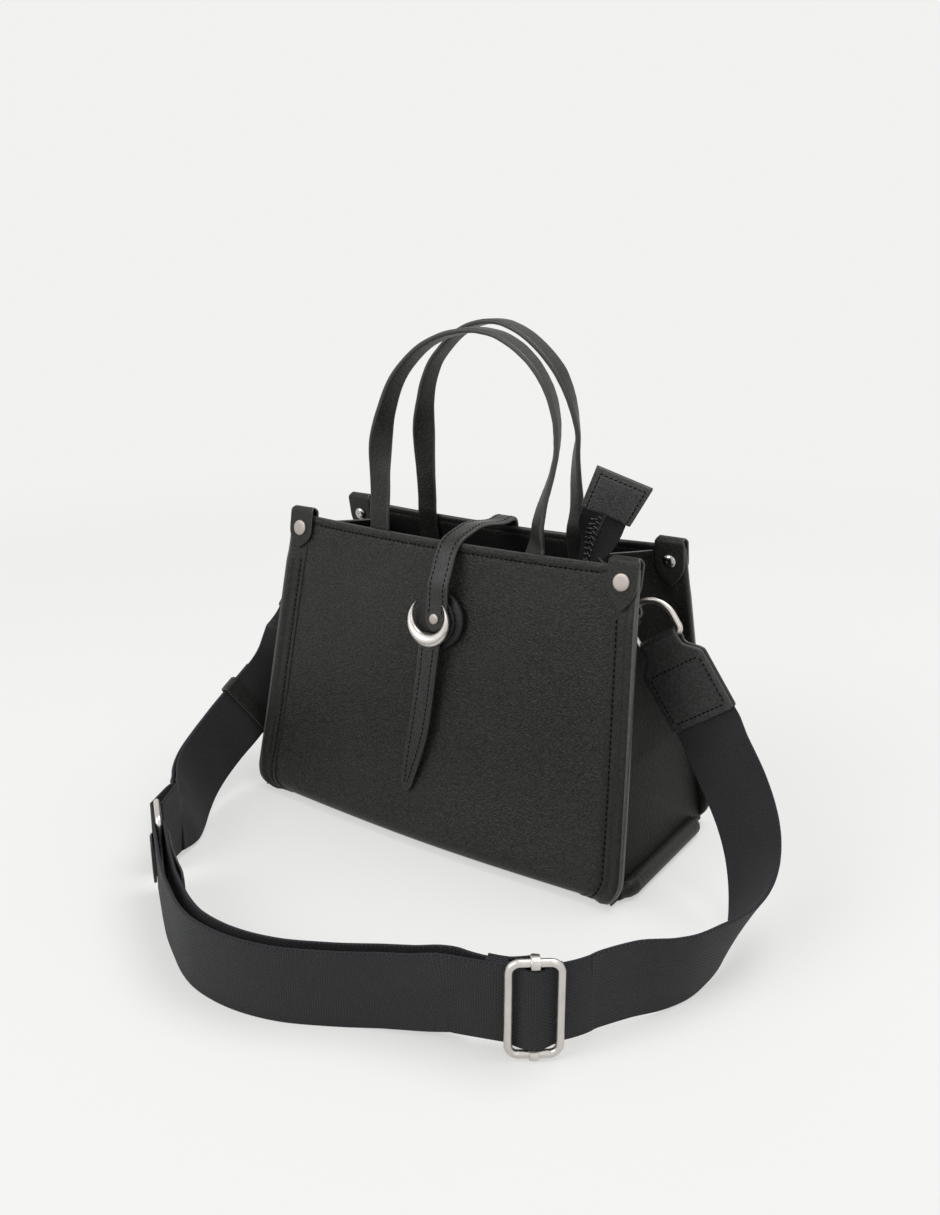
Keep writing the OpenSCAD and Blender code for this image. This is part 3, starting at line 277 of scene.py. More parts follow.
def metal(name, colour, rough, brushed=0.00002):
    """Plated metal, faintly brushed and unevenly dull."""
    material, g, shader = surface(name)
    broad = g.noise(160.0)[0]
    g.feed(shader, {
        "Base Color": g.ramp(broad, 0.3, 0.7, [c * 0.86 for c in colour], colour),
        "Roughness": g.math("MULTIPLY_ADD", broad, 0.16, rough - 0.08),
        "Normal": g.bump(g.noise(1400.0)[0], brushed, 0.5),
        "Metallic": 1.0})
    return material


def cloth(name, dark, light, scale):
    """A plain weave that follows the object's own axes."""
    material, g, shader = surface(name)
    x, y, z = g.put("SeparateXYZ", {0: g.place}).outputs
    a = g.math("SINE", g.math("MULTIPLY", g.math("ADD", x, y), scale))
    weave = g.math("MULTIPLY", a, g.math("SINE", g.math("MULTIPLY", z, scale)))
    tone = g.math("MULTIPLY_ADD", weave, 0.25, g.noise(700.0)[0])
    g.feed(shader, {
        "Base Color": g.ramp(tone, 0.3, 0.8, dark, light),
        "Normal": g.bump(weave, 0.0001, 0.7),
        "Roughness": 0.85,
        "Sheen Weight": 0.2})
    return material


SMALL_GRAIN = {"grain": 0.5, "cell": 1000.0}
FAINT_GRAIN = {"grain": 0.35, "cell": 1000.0}
LEATHER = leather("leather_pebble", (0.0034, 0.0036, 0.0030), (0.0275, 0.0282, 0.0240), 0.41, shine=0.21)
# the gusset leather is the panel leather painted darker: painted shade for the sides, which face away from
# the light
GUSSET_SHADED = leather("leather_gusset_painted_shade", (0.0024, 0.0025, 0.0021), (0.0112, 0.0115, 0.0100), 0.46, shine=0.08)
TRIM = leather("leather_smooth", (0.0090, 0.0094, 0.0082), (0.0225, 0.0232, 0.0204), 0.44, shine=0.22,
               **SMALL_GRAIN)
FLAP = leather("leather_closure", (0.0140, 0.0146, 0.0136), (0.0320, 0.0330, 0.0308), 0.42, **FAINT_GRAIN)
# the chape leather is a lighter copy of the bag's leather: painted light that lifts the chapes and the ring
# tab out of the shade they stand in
CHAPE_LIT = leather("leather_chape_painted_light", (0.0240, 0.0248, 0.0236), (0.0480, 0.0492, 0.0468), 0.42, **FAINT_GRAIN)
PULL_END = leather("leather_zip_end", (0.0120, 0.0124, 0.0118), (0.0380, 0.0388, 0.0370), 0.34,
                   crease=0.6, shine=0.5)
DARK = leather("leather_dark", (0.005, 0.005, 0.005), (0.012, 0.012, 0.012), 0.46, **SMALL_GRAIN)
# edge paint, lighter than the leather faces: partly the paint's own colour and partly painted highlight where
# edges catch the light
EDGE = paint("edge_paint_and_highlight", (0.024, 0.0245, 0.0225), 0.42)
# the binding's cut lip is lighter than the edge paint: partly its paint and partly a painted highlight along
# the bead's outer edge
LIP_PAINT_AND_HIGHLIGHT = paint("binding_edge_and_highlight", (0.050, 0.052, 0.048), 0.40)
# the thread is near black: partly black thread and partly painted shade for the stitch holes and grooves
THREAD = woven("thread", (0.0012, 0.0012, 0.0012), (0.005, 0.005, 0.005), 0.0006, 0.0006, 0.00004,
               rough=0.8, sheen=0.0, shine=0.1)
WEB_EDGE = woven("webbing_edge", (0.010, 0.0102, 0.0125), (0.030, 0.0305, 0.036), 0.0011, 0.0009, 0.0003)
WEB = woven("webbing_nylon", (0.0120, 0.0122, 0.0131), (0.0330, 0.0335, 0.0355), 0.0011, 0.0008, 0.0002,
            ribs=0.8)
TAPE = woven("zip_tape_twill", (0.006, 0.006, 0.0065), (0.018, 0.018, 0.019), 0.0009, 0.0009, 0.0002)
TEETH = paint("zip_teeth", (0.016, 0.016, 0.0165), 0.26)
NICKEL = metal("satin_nickel", (0.64, 0.61, 0.57), 0.34)
BRIGHT = metal("bright_nickel", (0.72, 0.69, 0.65), 0.30)
DOME = metal("rivet_dome", (0.46, 0.44, 0.42), 0.20)
CAP = metal("matt_nickel", (0.44, 0.40, 0.365), 0.50, 0.00008)
GUN = metal("dark_metal", (0.20, 0.195, 0.19), 0.32)
LINING = cloth("lining_cloth", (0.004, 0.004, 0.0045), (0.012, 0.012, 0.013), 5000.0)
BOARD = paint("stiffening_board", (0.16, 0.14, 0.11), 0.8)


# Mesh helpers
def add(name, verts, faces, body, mats, replaces=(), ids=None, uv=None, blend=None):
    """One piece of the scene, in millimetres; a piece given a blend keeps its world place and is attached to
    no body, and the bodies and ends that blend names are not used.
    """
    mesh = bpy.data.meshes.new(name)
    mesh.from_pydata((np.asarray(verts, float) * MM).tolist(), [], [list(f) for f in faces])
    for material in mats:
        mesh.materials.append(material)
    if ids is not None:
        mesh.polygons.foreach_set("material_index", np.asarray(ids, np.int32))
    mesh.polygons.foreach_set("use_smooth", np.full(len(mesh.polygons), True))
    if uv is not None:
        layer = mesh.uv_layers.new(name="UVMap")
        uv = np.asarray(uv, float)
        corners = np.array([uv[loop.vertex_index] for loop in mesh.loops])
        layer.data.foreach_set("uv", (corners * MM).ravel())
    mesh.validate()
    piece = bpy.data.objects.new(name, mesh)
    bpy.context.scene.collection.objects.link(piece)
    if blend:
        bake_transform(piece)
    else:
        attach(piece, body)
    if replaces:
        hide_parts(*replaces)
    return piece


def round_edges(piece, width, segments, angle=45):
    bevel = piece.modifiers.new("round", "BEVEL")
    bevel.width = width * MM
    bevel.segments = segments
    bevel.limit_method = "ANGLE"
    bevel.angle_limit = math.radians(angle)


def ring(centre, x, y, turns):
    """Points round a centre, from its two half axes."""
    angles = [2 * math.pi * k / turns for k in range(turns)]
    return [centre + x * math.cos(a) + y * math.sin(a) for a in angles]


def quads(rings, turns, base=0, closed=False):
    """Faces between rings of vertices that follow one another from vertex base on."""
    faces = []
    for i in range(rings if closed else rings - 1):
        a, b = base + i * turns, base + (i + 1) % rings * turns
        for k in range(turns):
            o = (k + 1) % turns
            faces.append((a + k, a + o, b + o, b + k))
    return faces


def cap(first, turns, flip=False):
    face = range(first, first + turns)
    return tuple(reversed(face)) if flip else tuple(face)


def turned(faces):
    return [tuple(reversed(f)) for f in faces]


def inside_out(faces):
    """The faces turned over, each from the same first corner on."""
    return [(f[0], *f[:0:-1]) for f in faces]


def outward(grid, r, c):
    """The way out of a grid at a point of its border."""
    rows, cols = grid.shape[:2]
    none = np.zeros(3)
    down = {0: grid[0, c] - grid[1, c], rows - 1: grid[-1, c] - grid[-2, c]}.get(r, none)
    across = {0: grid[r, 0] - grid[r, 1], cols - 1: grid[r, -1] - grid[r, -2]}.get(c, none)
    way = down / max(np.linalg.norm(down), TINY) + across / max(np.linalg.norm(across), TINY)
    return way / max(np.linalg.norm(way), TINY)


def leaf(name, grid, thick, body, mats, replaces=(), edge=0.5, flip=False):
    """A closed leaf of leather or cloth with its outer face on the grid; its edge has the last material."""
    grid = np.asarray(grid, float)
    rows, cols = grid.shape[:2]
    n = np.cross(np.gradient(grid, axis=1), np.gradient(grid, axis=0))
    n = n / np.maximum(np.linalg.norm(n, axis=2, keepdims=True), TINY) * (-1 if flip else 1)
    border = [(0, c) for c in range(cols)] + [(r, cols - 1) for r in range(1, rows)]
    border += [(rows - 1, c) for c in range(cols - 2, -1, -1)] + [(r, 0) for r in range(rows - 2, 0, -1)]
    # two rings stand out between the faces, so that the edge is round
    edge = min(edge, thick * 0.5)
    rings = []
    for depth in (0.28, 0.72):
        rings.append([grid[at] - n[at] * thick * depth + outward(grid, *at) * edge for at in border])
    verts = np.concatenate([grid.reshape(-1, 3), (grid - n * thick).reshape(-1, 3), *rings])
    size, count = rows * cols, len(border)
    first, second = 2 * size, 2 * size + count
    faces = []
    for r in range(rows - 1):
        for c in range(cols - 1):
            a = r * cols + c
            b, d, e = a + 1, a + cols + 1, a + cols
            faces += [(a, b, d, e), (size + a, size + e, size + d, size + b)]
    ids = [0] * len(faces) + [len(mats) - 1] * 3 * count
    flat = [r * cols + c for r, c in border]
    for i in range(count):
        j = (i + 1) % count
        faces.append((flat[j], flat[i], first + i, first + j))
        faces.append((first + j, first + i, second + i, second + j))
        faces.append((second + j, second + i, size + flat[i], size + flat[j]))
    uv = np.stack([lengths(grid, 0), lengths(grid, 1)], -1)
    uvs = np.concatenate([uv.reshape(-1, 2)] * 2 + [[uv[at] for at in border]] * 2)
    return add(name, verts, turned(faces) if flip else faces, body, mats, replaces, ids, uvs)


class Strip:
    """A strap laid along stations: middle line c, direction t, way of its width w, normal n and length l."""

    def __init__(self, stations, closed=False):
        rows = np.array([[*map(float, v)] for v in stations])
        self.c, w = rows[:, :3], rows[:, 3:6]
        t = np.zeros_like(self.c)
        t[1:-1] = self.c[2:] - self.c[:-2]
        t[0], t[-1] = self.c[1] - self.c[0], self.c[-1] - self.c[-2]
        if closed:
            t[0] = t[-1] = self.c[1] - self.c[-2]
        self.t = unit(t)
        self.w = unit(w - self.t * (w * self.t).sum(1, keepdims=True))
        self.n = np.cross(self.t, self.w)
        self.l = lengths(self.c)

    def changed(self, **values):
        out = Strip.__new__(Strip)
        out.__dict__.update(self.__dict__, **values)
        return out

    def part(self, first, last):
        return self.changed(**{k: v[first:last + 1] for k, v in self.__dict__.items()})

    def at(self, l):
        """Middle, direction, width and normal at a length along the strap."""
        c, *ways = (between(l, self.l, rows) for rows in (self.c, self.t, self.w, self.n))
        return c, *map(unit, ways)

    def line(self, across, height, start, end, step=0.8):
        """Points and normals along the strap, out of its middle line and its middle plane."""
        points, normals = [], []
        for l in np.arange(self.l[0] + start, self.l[-1] - end + TINY * 1000, step):
            c, _, w, n = self.at(l)
            points.append(c + w * across + n * height)
            normals.append(n)
        return points, normals


WEB_ACROSS = [-1, -0.997, -0.985, -0.965, -0.93, -0.6, -0.2, 0.2, 0.6, 0.93, 0.965, 0.985, 0.997, 1]
WEB_HEIGHT = [0, 0.55, 0.95, 1.1, 1.0, 0.94, 0.92, 0.92, 0.94, 1.0, 1.1, 0.95, 0.55, 0]
CROWN_FOOT, CROWN, CROWN_STEPS = 0.92, 0.12, 7


def section(kind, half, thick):
    """The upper half of a strap's outline, from edge to edge: across, and height above the middle plane."""
    h = thick / 2
    if kind == "web":
        return [(x * half, y * h) for x, y in zip(WEB_ACROSS, WEB_HEIGHT)]
    r = min(h, half * 0.4)
    inner = half - r
    side = []
    for a in np.radians((0, 22, 45, 68, 90)):
        side.append((-half + r - r * math.cos(a), h * math.sin(a) * CROWN_FOOT))
    crown = []
    for i in range(1, CROWN_STEPS):
        x = -inner + 2 * inner * i / CROWN_STEPS
        crown.append((x, h * (CROWN_FOOT + CROWN * (1 - (x / inner) ** 2))))
    return side + crown + [(-x, y) for x, y in reversed(side)]


def strap(name, strip, width, thick, body, mats, replaces=(), kind="leather", widths=None, blend=None,
          caps=True):
    """A solid strap along a strip; widths gives its width at each station where that changes."""
    count = len(strip.c)
    verts, uv = [], []
    for i in range(count):
        top = section(kind, (width if widths is None else widths[i]) / 2, thick)
        for x, y in top + [(x, -y) for x, y in reversed(top[1:-1])]:
            verts.append(strip.c[i] + strip.w[i] * x + strip.n[i] * y)
            uv.append((strip.l[i], x))
    half_loop = len(top)
    m = 2 * half_loop - 2
    edge_faces = 3
    painted = len(mats) - 1
    faces = inside_out(quads(count, m))
    ids = []
    for j in range(m):
        near_start = j < edge_faces or j >= m - edge_faces
        near_end = half_loop - 1 - edge_faces <= j < half_loop - 1 + edge_faces
        ids.append(painted if near_start or near_end else 0)
    ids *= count - 1
    # a cut end has its own corners, so that it shades flat and the sides run on up to it
    for i in (0, count - 1) if caps else ():
        base = len(verts)
        verts += verts[i * m:(i + 1) * m]
        uv += uv[i * m:(i + 1) * m]
        upper = [base + j for j in range(half_loop)]
        lower = [base] + [base + j for j in range(m - 1, half_loop - 1, -1)] + [base + half_loop - 1]
        for q in range(half_loop - 1):
            face = tuple(dict.fromkeys((upper[q], upper[q + 1], lower[q + 1], lower[q])))
            faces.append(tuple(reversed(face)) if i else face)
            ids.append(painted)
    return add(name, verts, faces, body, mats, replaces, ids, uv, blend)


STITCH_RINGS = ((-0.40, 0.62), (0.0, 1.0), (0.40, 0.62))
STITCH_PROUD, STITCH_SUNK, STITCH_SLANT = 0.30, 0.05, 0.06


def along(points, normal):
    """A line of points for stitches that all face one way."""
    return points, [normal] * len(points)


def stitches(name, lines, body, pitch=3.1, length=2.3, wide=0.85, blend=None):
    """Threads along lines of points and normals: one small bead of thread for each stitch."""
    verts, faces, uv = [], [], []
    for points, normals in lines:
        points, normals = np.array(points), np.array(normals)
        run = lengths(points)
        count = max(1, int(round((run[-1] + pitch - length) / pitch)))
        for i in range(count):
            mid = (i + 0.5) * run[-1] / count
            c, n = between(mid, run, points), unit(between(mid, run, normals))
            ends = [between(mid + half, run, points) for half in (-length / 2, length / 2)]
            t = unit(ends[1] - ends[0] + TINY)
            s = np.cross(n, t)
            t = unit(t + s * STITCH_SLANT)
            base = len(verts)
            verts.append(c - t * length / 2 - n * STITCH_SUNK)
            for q, k in STITCH_RINGS:
                verts += ring(c + t * length * q, s * wide / 2 * k, n * STITCH_PROUD * k, 6)
            verts.append(c + t * length / 2 - n * STITCH_SUNK)
            for a in range(6):
                b = (a + 1) % 6
                faces.append((base, base + 1 + b, base + 1 + a))
                faces.append((base + 19, base + 13 + a, base + 13 + b))
                for r in (1, 7):
                    faces.append((base + r + a, base + r + b, base + r + 6 + b, base + r + 6 + a))
            uv += [(mid, k * 0.2) for k in range(20)]
    return add(name, verts, faces, body, [THREAD], uv=uv, blend=blend)


def lathe(name, profile, centres, axes, body, mats, replaces, turns=40):
    """Turned pieces: profile of radius and height, on one or more centres with their axes."""
    verts, faces = [], []
    for centre, axis in zip(centres, axes):
        x = unit(np.cross(axis, (0.3, 0.5, 0.81)))
        y = np.cross(axis, x)
        base = len(verts)
        for r, h in profile:
            verts += ring(centre + axis * h, x * r, y * r, turns)
        faces += quads(len(profile), turns, base)
        faces += [cap(base, turns, True), cap(base + (len(profile) - 1) * turns, turns)]
    round_edges(add(name, verts, faces, body, mats, replaces), 0.02, 1)


def tube(name, path, radii, body, mats, replaces=(), turns=16):
    """A round roll along a path, with its radius at each point."""
    upright = abs(unit(path[-1] - path[0])[2]) > 0.9
    s = Strip([[*p, *((1, 0, 0) if upright else UP)] for p in path])
    verts = []
    for p, w, n, r in zip(path, s.w, s.n, radii):
        verts += ring(p, w * r, n * r, turns)
    faces = inside_out(quads(len(path), turns))
    faces += [cap(0, turns), cap((len(path) - 1) * turns, turns, True)]
    add(name, verts, faces, body, mats, replaces)


def closed_tube(name, path, normal, r, body, node, turns=18):
    """A wire bent to a closed loop about a normal."""
    path = np.asarray(path, float)
    across = np.cross(unit(np.roll(path, -1, 0) - np.roll(path, 1, 0)), normal)
    verts = []
    for p, b in zip(path, across):
        verts += ring(p, b * r, normal * r, turns)
    add(name, verts, quads(len(path), turns, closed=True), body, [NICKEL], (node,))


# Panels
BASE_R = 9
ARC_L = BASE_R * math.pi / 2
FULL_L = ARC_L + (BAG_H - EDGE_DROP - BASE_R) / math.cos(SLOPE)
TOP_STITCH_DROP = 4.4


def panel_half(z):
    """Half the width of a panel, with its rounded bottom corners."""
    if z < CORNER_R:
        return half_w(z) - CORNER_R + math.sqrt(max(0.0, CORNER_R**2 - (CORNER_R - z) ** 2))
    return half_w(z)


def z_of(l):
    if l < ARC_L:
        return BASE_R * (1 - math.sin((ARC_L - l) / BASE_R))
    return BASE_R + (l - ARC_L) * math.cos(SLOPE)


def l_of(z):
    return ARC_L + (z - BASE_R) / math.cos(SLOPE)


def panel_point(x, l, out=0.0, side=-1):
    """A point of a panel's outer face: x across, l along it from the ground, out of the face."""
    z = z_of(l)
    tilt = max(0.0, ARC_L - l) / BASE_R
    back = BASE_R * (1 - math.cos(tilt))
    on_slope = max(z, BASE_R)
    s = min(1.0, abs(x) / panel_half(z))
    swell = (0.8 + 5.6 * (1 - s * s) ** 0.9) * bell(on_slope / 34)
    swell += 0.5 * math.sin(math.pi * min(1, on_slope / 170)) * (1 - s * s)
    swell += 0.35 * math.sin(x / 27 + 1.3) * math.sin(on_slope / 33 + 0.4) * (1 - s**4)
    sag = 2.6 * smooth((z - 90) / 85) * max(0.0, 1 - (x / 112) ** 2)
    a = -SLOPE * math.cos(tilt)
    ny, nz = math.cos(a) * math.cos(tilt), -math.sin(tilt) - math.sin(a) * math.cos(tilt)
    return vec(x, side * (half_d(on_slope) + swell - back + out * ny), z - sag + out * nz)


def on_face(x, l, n, side=-1):
    """A point over the flat CAD panel: x across, l up its slope, n out of it."""
    y = BOTTOM_D / 2 - l * math.sin(SLOPE) + n * math.cos(SLOPE)
    return vec(x, side * y, l * math.cos(SLOPE) + n * math.sin(SLOPE))


def face_normal(side=-1):
    return vec(0, side * math.cos(SLOPE), math.sin(SLOPE))


def top_relief(l):
    """The turned top edge: a soft roll above the groove of its stitch line."""
    d = FULL_L - l
    return 0.55 * bell((d - 1.6) / 1.7) - 0.45 * bell((d - TOP_STITCH_DROP) / 0.9)


# distance in from the panel's edge, and out of its face
BINDING = [(13.6, 0.0), (13.4, 0.4), (13.0, 0.55), (11.0, 0.5), (10.6, 0.1), (9.7, 0.1), (9.3, 0.55),
           (8.0, 0.8), (6.6, 0.75), (5.9, 0.4), (5.2, 0.8), (4.2, 1.5), (3.0, 2.0), (1.8, 2.05),
           (0.9, 1.75), (0.45, 1.3), (0.05, 1.75), (-0.6, 1.7),
           (-1.0, 1.1), (-1.1, -0.9), (-0.7, -2.2), (0.2, -3.1)]
# faces of the lip, which take the lighter colour: partly edge paint and partly painted highlight
LIP_FACES = (15, 16, 17, 18)
BINDING_STITCH_IN = 10.15
LOWEST = 0.1


def binding(side, sx, label):
    """Binding along a side edge and round the bottom corner: a bead with a cut lip, and a sewn flat strip."""
    ls = [*np.linspace(0.0, 30, 22), *np.linspace(32, FULL_L - 30, 40)]
    ls += [*np.linspace(FULL_L - 28, FULL_L - 0.5, 14)]
    verts, uv = [], []
    for l in ls:
        half = panel_half(z_of(l))
        under = 1 - 0.55 * smooth((l - (FULL_L - 30)) / 10)
        fade = 0.35 + 0.65 * smooth((l + 1.0) / 5)
        for d, n in BINDING:
            x, y, z = panel_point(sx * (half - d), l, n * fade * (under if n > 0 else 1), side)
            verts.append(vec(x, y, max(z, LOWEST)))
            uv.append((l, d))
    m = len(BINDING)
    faces = quads(len(ls), m)
    faces = faces if side * sx > 0 else turned(faces)
    ids = [1 if j in LIP_FACES else 0 for j in range(m)] * (len(ls) - 1) + [0, 0]
    faces += [cap(0, m), cap((len(ls) - 1) * m, m, True)]
    name = f"{label}_binding_{'left' if sx < 0 else 'right'}"
    add(name, verts, faces, "bag", [TRIM, LIP_PAINT_AND_HIGHLIGHT], (label + "_bindings",), ids, uv)
    line = []
    for l in np.arange(5, FULL_L - 26, 0.8):
        line.append(panel_point(sx * (panel_half(z_of(l)) - BINDING_STITCH_IN), l, 0.35, side))
    stitches(name + "_stitches", [along(line, face_normal(side))], "bag")


def panel(side, label):
    rows = [*np.linspace(0, ARC_L, 8)[:-1], *np.linspace(ARC_L, 26, 7)[:-1]]
    rows += [*np.linspace(26, FULL_L - 8, 34)[:-1], *np.linspace(FULL_L - 8, FULL_L, 9)]
    # columns lie closer together towards the sides
    even = np.linspace(-1, 1, 61)
    us = np.sign(even) * (0.55 * np.abs(np.sin(even * math.pi / 2)) + 0.45 * np.abs(even))
    grid = [[panel_point(u * panel_half(z_of(l)), l, top_relief(l), side) for u in us] for l in rows]
    leaf(label + "_body_panel", grid, PANEL_T, "bag", [LEATHER, EDGE], (label + "_panel",),
         edge=0.9, flip=side > 0)
    for sx in (-1, 1):
        binding(side, sx, label)
    xs = np.arange(-TAB_X + 12, TAB_X - 12, 0.8)
    line = [panel_point(x, FULL_L - TOP_STITCH_DROP, -0.1, side) for x in xs]
    stitches(label + "_top_stitches", [along(line, face_normal(side))], "bag")


# Side gussets, folded inwards at the top
FOLD_BLUNT = 0.012


def gusset_in(z):
    """How far the gusset's top is gathered in from the panels' side edges."""
    return 10.5 * smooth((z - 135) / 26)


def fold_share(z):
    return max(0.0, (z - FOLD_Z) / (GUSSET_TOP_Z - FOLD_Z))


def gusset_point(s, z, sx, out=0.0):
    """A point of a gusset: s from -1 at the front to 1 at the back."""
    share = fold_share(z)
    deep = (gusset_x(z) - FOLD_TOP_X) * share - gusset_in(z)
    blunt = math.sqrt(1 + FOLD_BLUNT)
    v = (blunt - math.sqrt(s * s + FOLD_BLUNT)) / (blunt - math.sqrt(FOLD_BLUNT))
    belly = 1.6 * (1 - s * s) * bell((z - 36) / 34)
    puff = 0.9 * math.sin(math.pi * abs(s)) * share
    x = gusset_x(z) - gusset_in(z) - deep * v + belly + puff + out
    return vec(sx * x, s * (inner_y(z) + 1.2), z)


def gusset(sx, label):
    zs = [*np.linspace(2.5, FOLD_Z, 22)[:-1], *np.linspace(FOLD_Z, GUSSET_TOP_Z - 5, 40)[:-1]]
    zs += [*np.linspace(GUSSET_TOP_Z - 5, GUSSET_TOP_Z, 6)]
    grid = []
    for z in zs:
        hem = 0.4 * bell((GUSSET_TOP_Z - z - 1.2) / 1.2)
        grid.append([gusset_point(s, z, sx, hem) for s in np.linspace(-1, 1, 49)])
    leaf(label + "_side_gusset", grid, GUSSET_T, "bag", [GUSSET_SHADED, EDGE], (label + "_gusset",),
         edge=0.6, flip=sx < 0)
    lines = []
    for a, b in ((-0.9, -0.1), (0.1, 0.9)):
        line = [gusset_point(s, GUSSET_TOP_Z - 3.4, sx, 0.05) for s in np.linspace(a, b, 60)]
        lines.append(along(line, vec(sx * 0.7, -0.7 * np.sign(a + b), 0.1)))
    stitches(label + "_gusset_stitches", lines, "bag")
    # rolled seam along the foot, with gathers at its ends
    path, radii = [], []
    for y in np.linspace(-49, 49, 131):
        end = smooth((abs(y) - 38) / 11)
        path.append(vec(sx * (gusset_x(0) + 1.2 - 3.5 * end), y, 5.4 - 1.4 * end))
        radii.append(5.3 - 1.6 * end + 0.1 * math.sin(y * 1.3) * smooth((abs(y) - 28) / 12))
    tube(label + "_foot_roll", path, radii, "bag", [TRIM], ("base_piping",))
    seam = [p + vec(-sx * 2.6, 0, r * 0.86) for p, r in zip(path, radii)]
    tube(label + "_foot_seam", seam, [0.75] * len(seam), "bag", [DARK], turns=8)


# Base and lining
LINING_IN = 0.45
FACING_FOOT_Z, FACING_SEAM_Z = 143, 149


def base():
    grid = []
    for v in np.linspace(-1, 1, 25):
        grid.append([vec(u * 120, v * 55.5, 0.02 + 2.0 * max(abs(u) ** 30, abs(v) ** 24))
                     for u in np.linspace(-1, 1, 49)])
    leaf("leather_base", grid, 2.2, "bag", [LEATHER, EDGE], ("base_panel",), flip=True)


def lining_ring(z):
    """The lining's outline at a height: its long walls sag, its ends follow the gussets' folds."""
    side = gusset_x(z) - GUSSET_T - LINING_IN
    x, y = side - gusset_in(z), inner_y(z) - LINING_IN
    fold = side - (gusset_x(z) - FOLD_TOP_X) * fold_share(z)
    corners = [vec(*p) for p in ((x, -y), (fold, 0), (x, y), (-x, y), (-fold, 0), (-x, -y), (x, -y))]
    out = []
    for k, (a, b) in enumerate(zip(corners, corners[1:])):
        long = k in (2, 5)
        count = 36 if long else 10
        for t in np.arange(count) / count:
            p = a + (b - a) * t
            if long:
                waves = (0.5 + 0.5 * math.sin(z / 17 + 9 * t)) * math.sin(math.pi * min(1, z / LINING_TOP_Z))
                p[1] -= math.copysign(1.1 * math.sin(math.pi * t) * waves, p[1])
            out.append((*p, z))
    out.append(out[0])
    return out


def lining():
    grid = [lining_ring(z) for z in np.linspace(5.2, LINING_TOP_Z, 30)]
    leaf("lining_bag", grid, 0.7, "bag", [LINING], ("lining",), flip=True)
    xs, ys = np.linspace(-122, 122, 30), np.linspace(-54, 54, 16)
    floor = [[vec(x, y, 6.0 - 0.35 * math.sin(x / 19) * math.cos(y / 15)) for x in xs] for y in ys]
    leaf("lining_floor", floor, 0.7, "bag", [LINING])
    # leather facings inside the mouth, above the lining
    for side, label in SIDES:
        grid = []
        for l in np.linspace(l_of(FACING_FOOT_Z), FULL_L - 0.4, 16):
            under = -PANEL_T - 0.1 - (0.3 if l < l_of(FACING_SEAM_Z) else 0.0)
            grid.append([panel_point(x, l, under, side) for x in np.linspace(-112, 112, 60)])
        leaf(label + "_mouth_facing", grid, 0.3, "bag", [DARK], flip=side < 0)


# Corner tabs and rivets
TAB_MID = TAB_X + 1.5
TAB_HALF = 8.3
TAB_OUT = SEAT + TAB_T + 0.5
TAB_UNDER = -PANEL_T - SEAT - TAB_T


def corner_tab(side, sx, node, below):
    """A tab folded over the panel's top corner, with a rounded point on each face."""
    r, mid = (TAB_OUT - TAB_UNDER) / 2, (TAB_OUT + TAB_UNDER) / 2
    top = TOP_L - r
    falls = below * np.linspace(0, 1, 18) ** 0.65
    rows = [(d, TAB_OUT, RIVET_L - d, 1) for d in falls[::-1]]
    rows += [(0, TAB_OUT, l, 1) for l in np.linspace(RIVET_L + 1.5, top, 5)]
    for a in np.linspace(0.25, math.pi - 0.25, 12):
        rows.append((0, mid + r * math.cos(a), top + r * math.sin(a), 1 - 0.16 * math.sin(a) ** 2))
    rows += [(0, TAB_UNDER, l, 1) for l in np.linspace(top, RIVET_L + 1.5, 5)]
    rows += [(d, TAB_UNDER, RIVET_L - d, 1) for d in falls]
    grid = []
    for d, n, l, wide in rows:
        s = d / below
        a, b = (-1 + 1.1 * s**2.6) * wide, (1 - 0.85 * s**2.18) * wide
        xs = np.linspace(a, b, 15) * TAB_HALF + TAB_MID
        grid.append([on_face(sx * x, l, n, side) for x in xs])
    leaf(node + "_leather", grid, TAB_T, "bag", [TRIM, EDGE], (node,),
         edge=0.45, flip=side * sx > 0)


# radius and height
FLAT_CAP = [(4.6, 0), (4.6, 0.5), (4.45, 0.85), (4.0, 1.0), (2.6, 1.05), (0.02, 1.1)]
DOMED_CAP = [(3.9, 0), (4.0, 0.4), (3.7, 0.95), (3.0, 1.5), (1.9, 1.9), (1.3, 1.95), (0.9, 1.75), (0.02, 1.7)]
SMALL_CAP = [(3.0, 0), (3.0, 0.5), (2.85, 0.85), (2.5, 1.05), (1.5, 1.15), (0.02, 1.2)]
PUCK = [(14.0, 0), (15.6, 0.25), (16.0, 0.9), (16.0, 3.1), (15.6, 3.7), (14.8, 4.0), (0.02, 4.05)]
DISC = [(12.4, 0), (13.3, 0.2), (13.6, 0.7), (13.4, 1.3), (12.8, 1.6), (0.02, 1.6)]


def rivets():
    places = [(sx, side) for side in (-1, 1) for sx in (-1, 1)]
    normals = [face_normal(side) for _, side in places]
    outer = [on_face(sx * TAB_MID, RIVET_L, TAB_OUT, side) for sx, side in places]
    inner = [on_face(sx * TAB_MID, RIVET_L, TAB_UNDER, side) for sx, side in places]
    lathe("rivet_caps", FLAT_CAP, outer, normals, "bag", [CAP], ("corner_rivets",))
    lathe("rivet_domes", DOMED_CAP, inner, [-n for n in normals], "bag", [DOME], ("corner_rivets",))


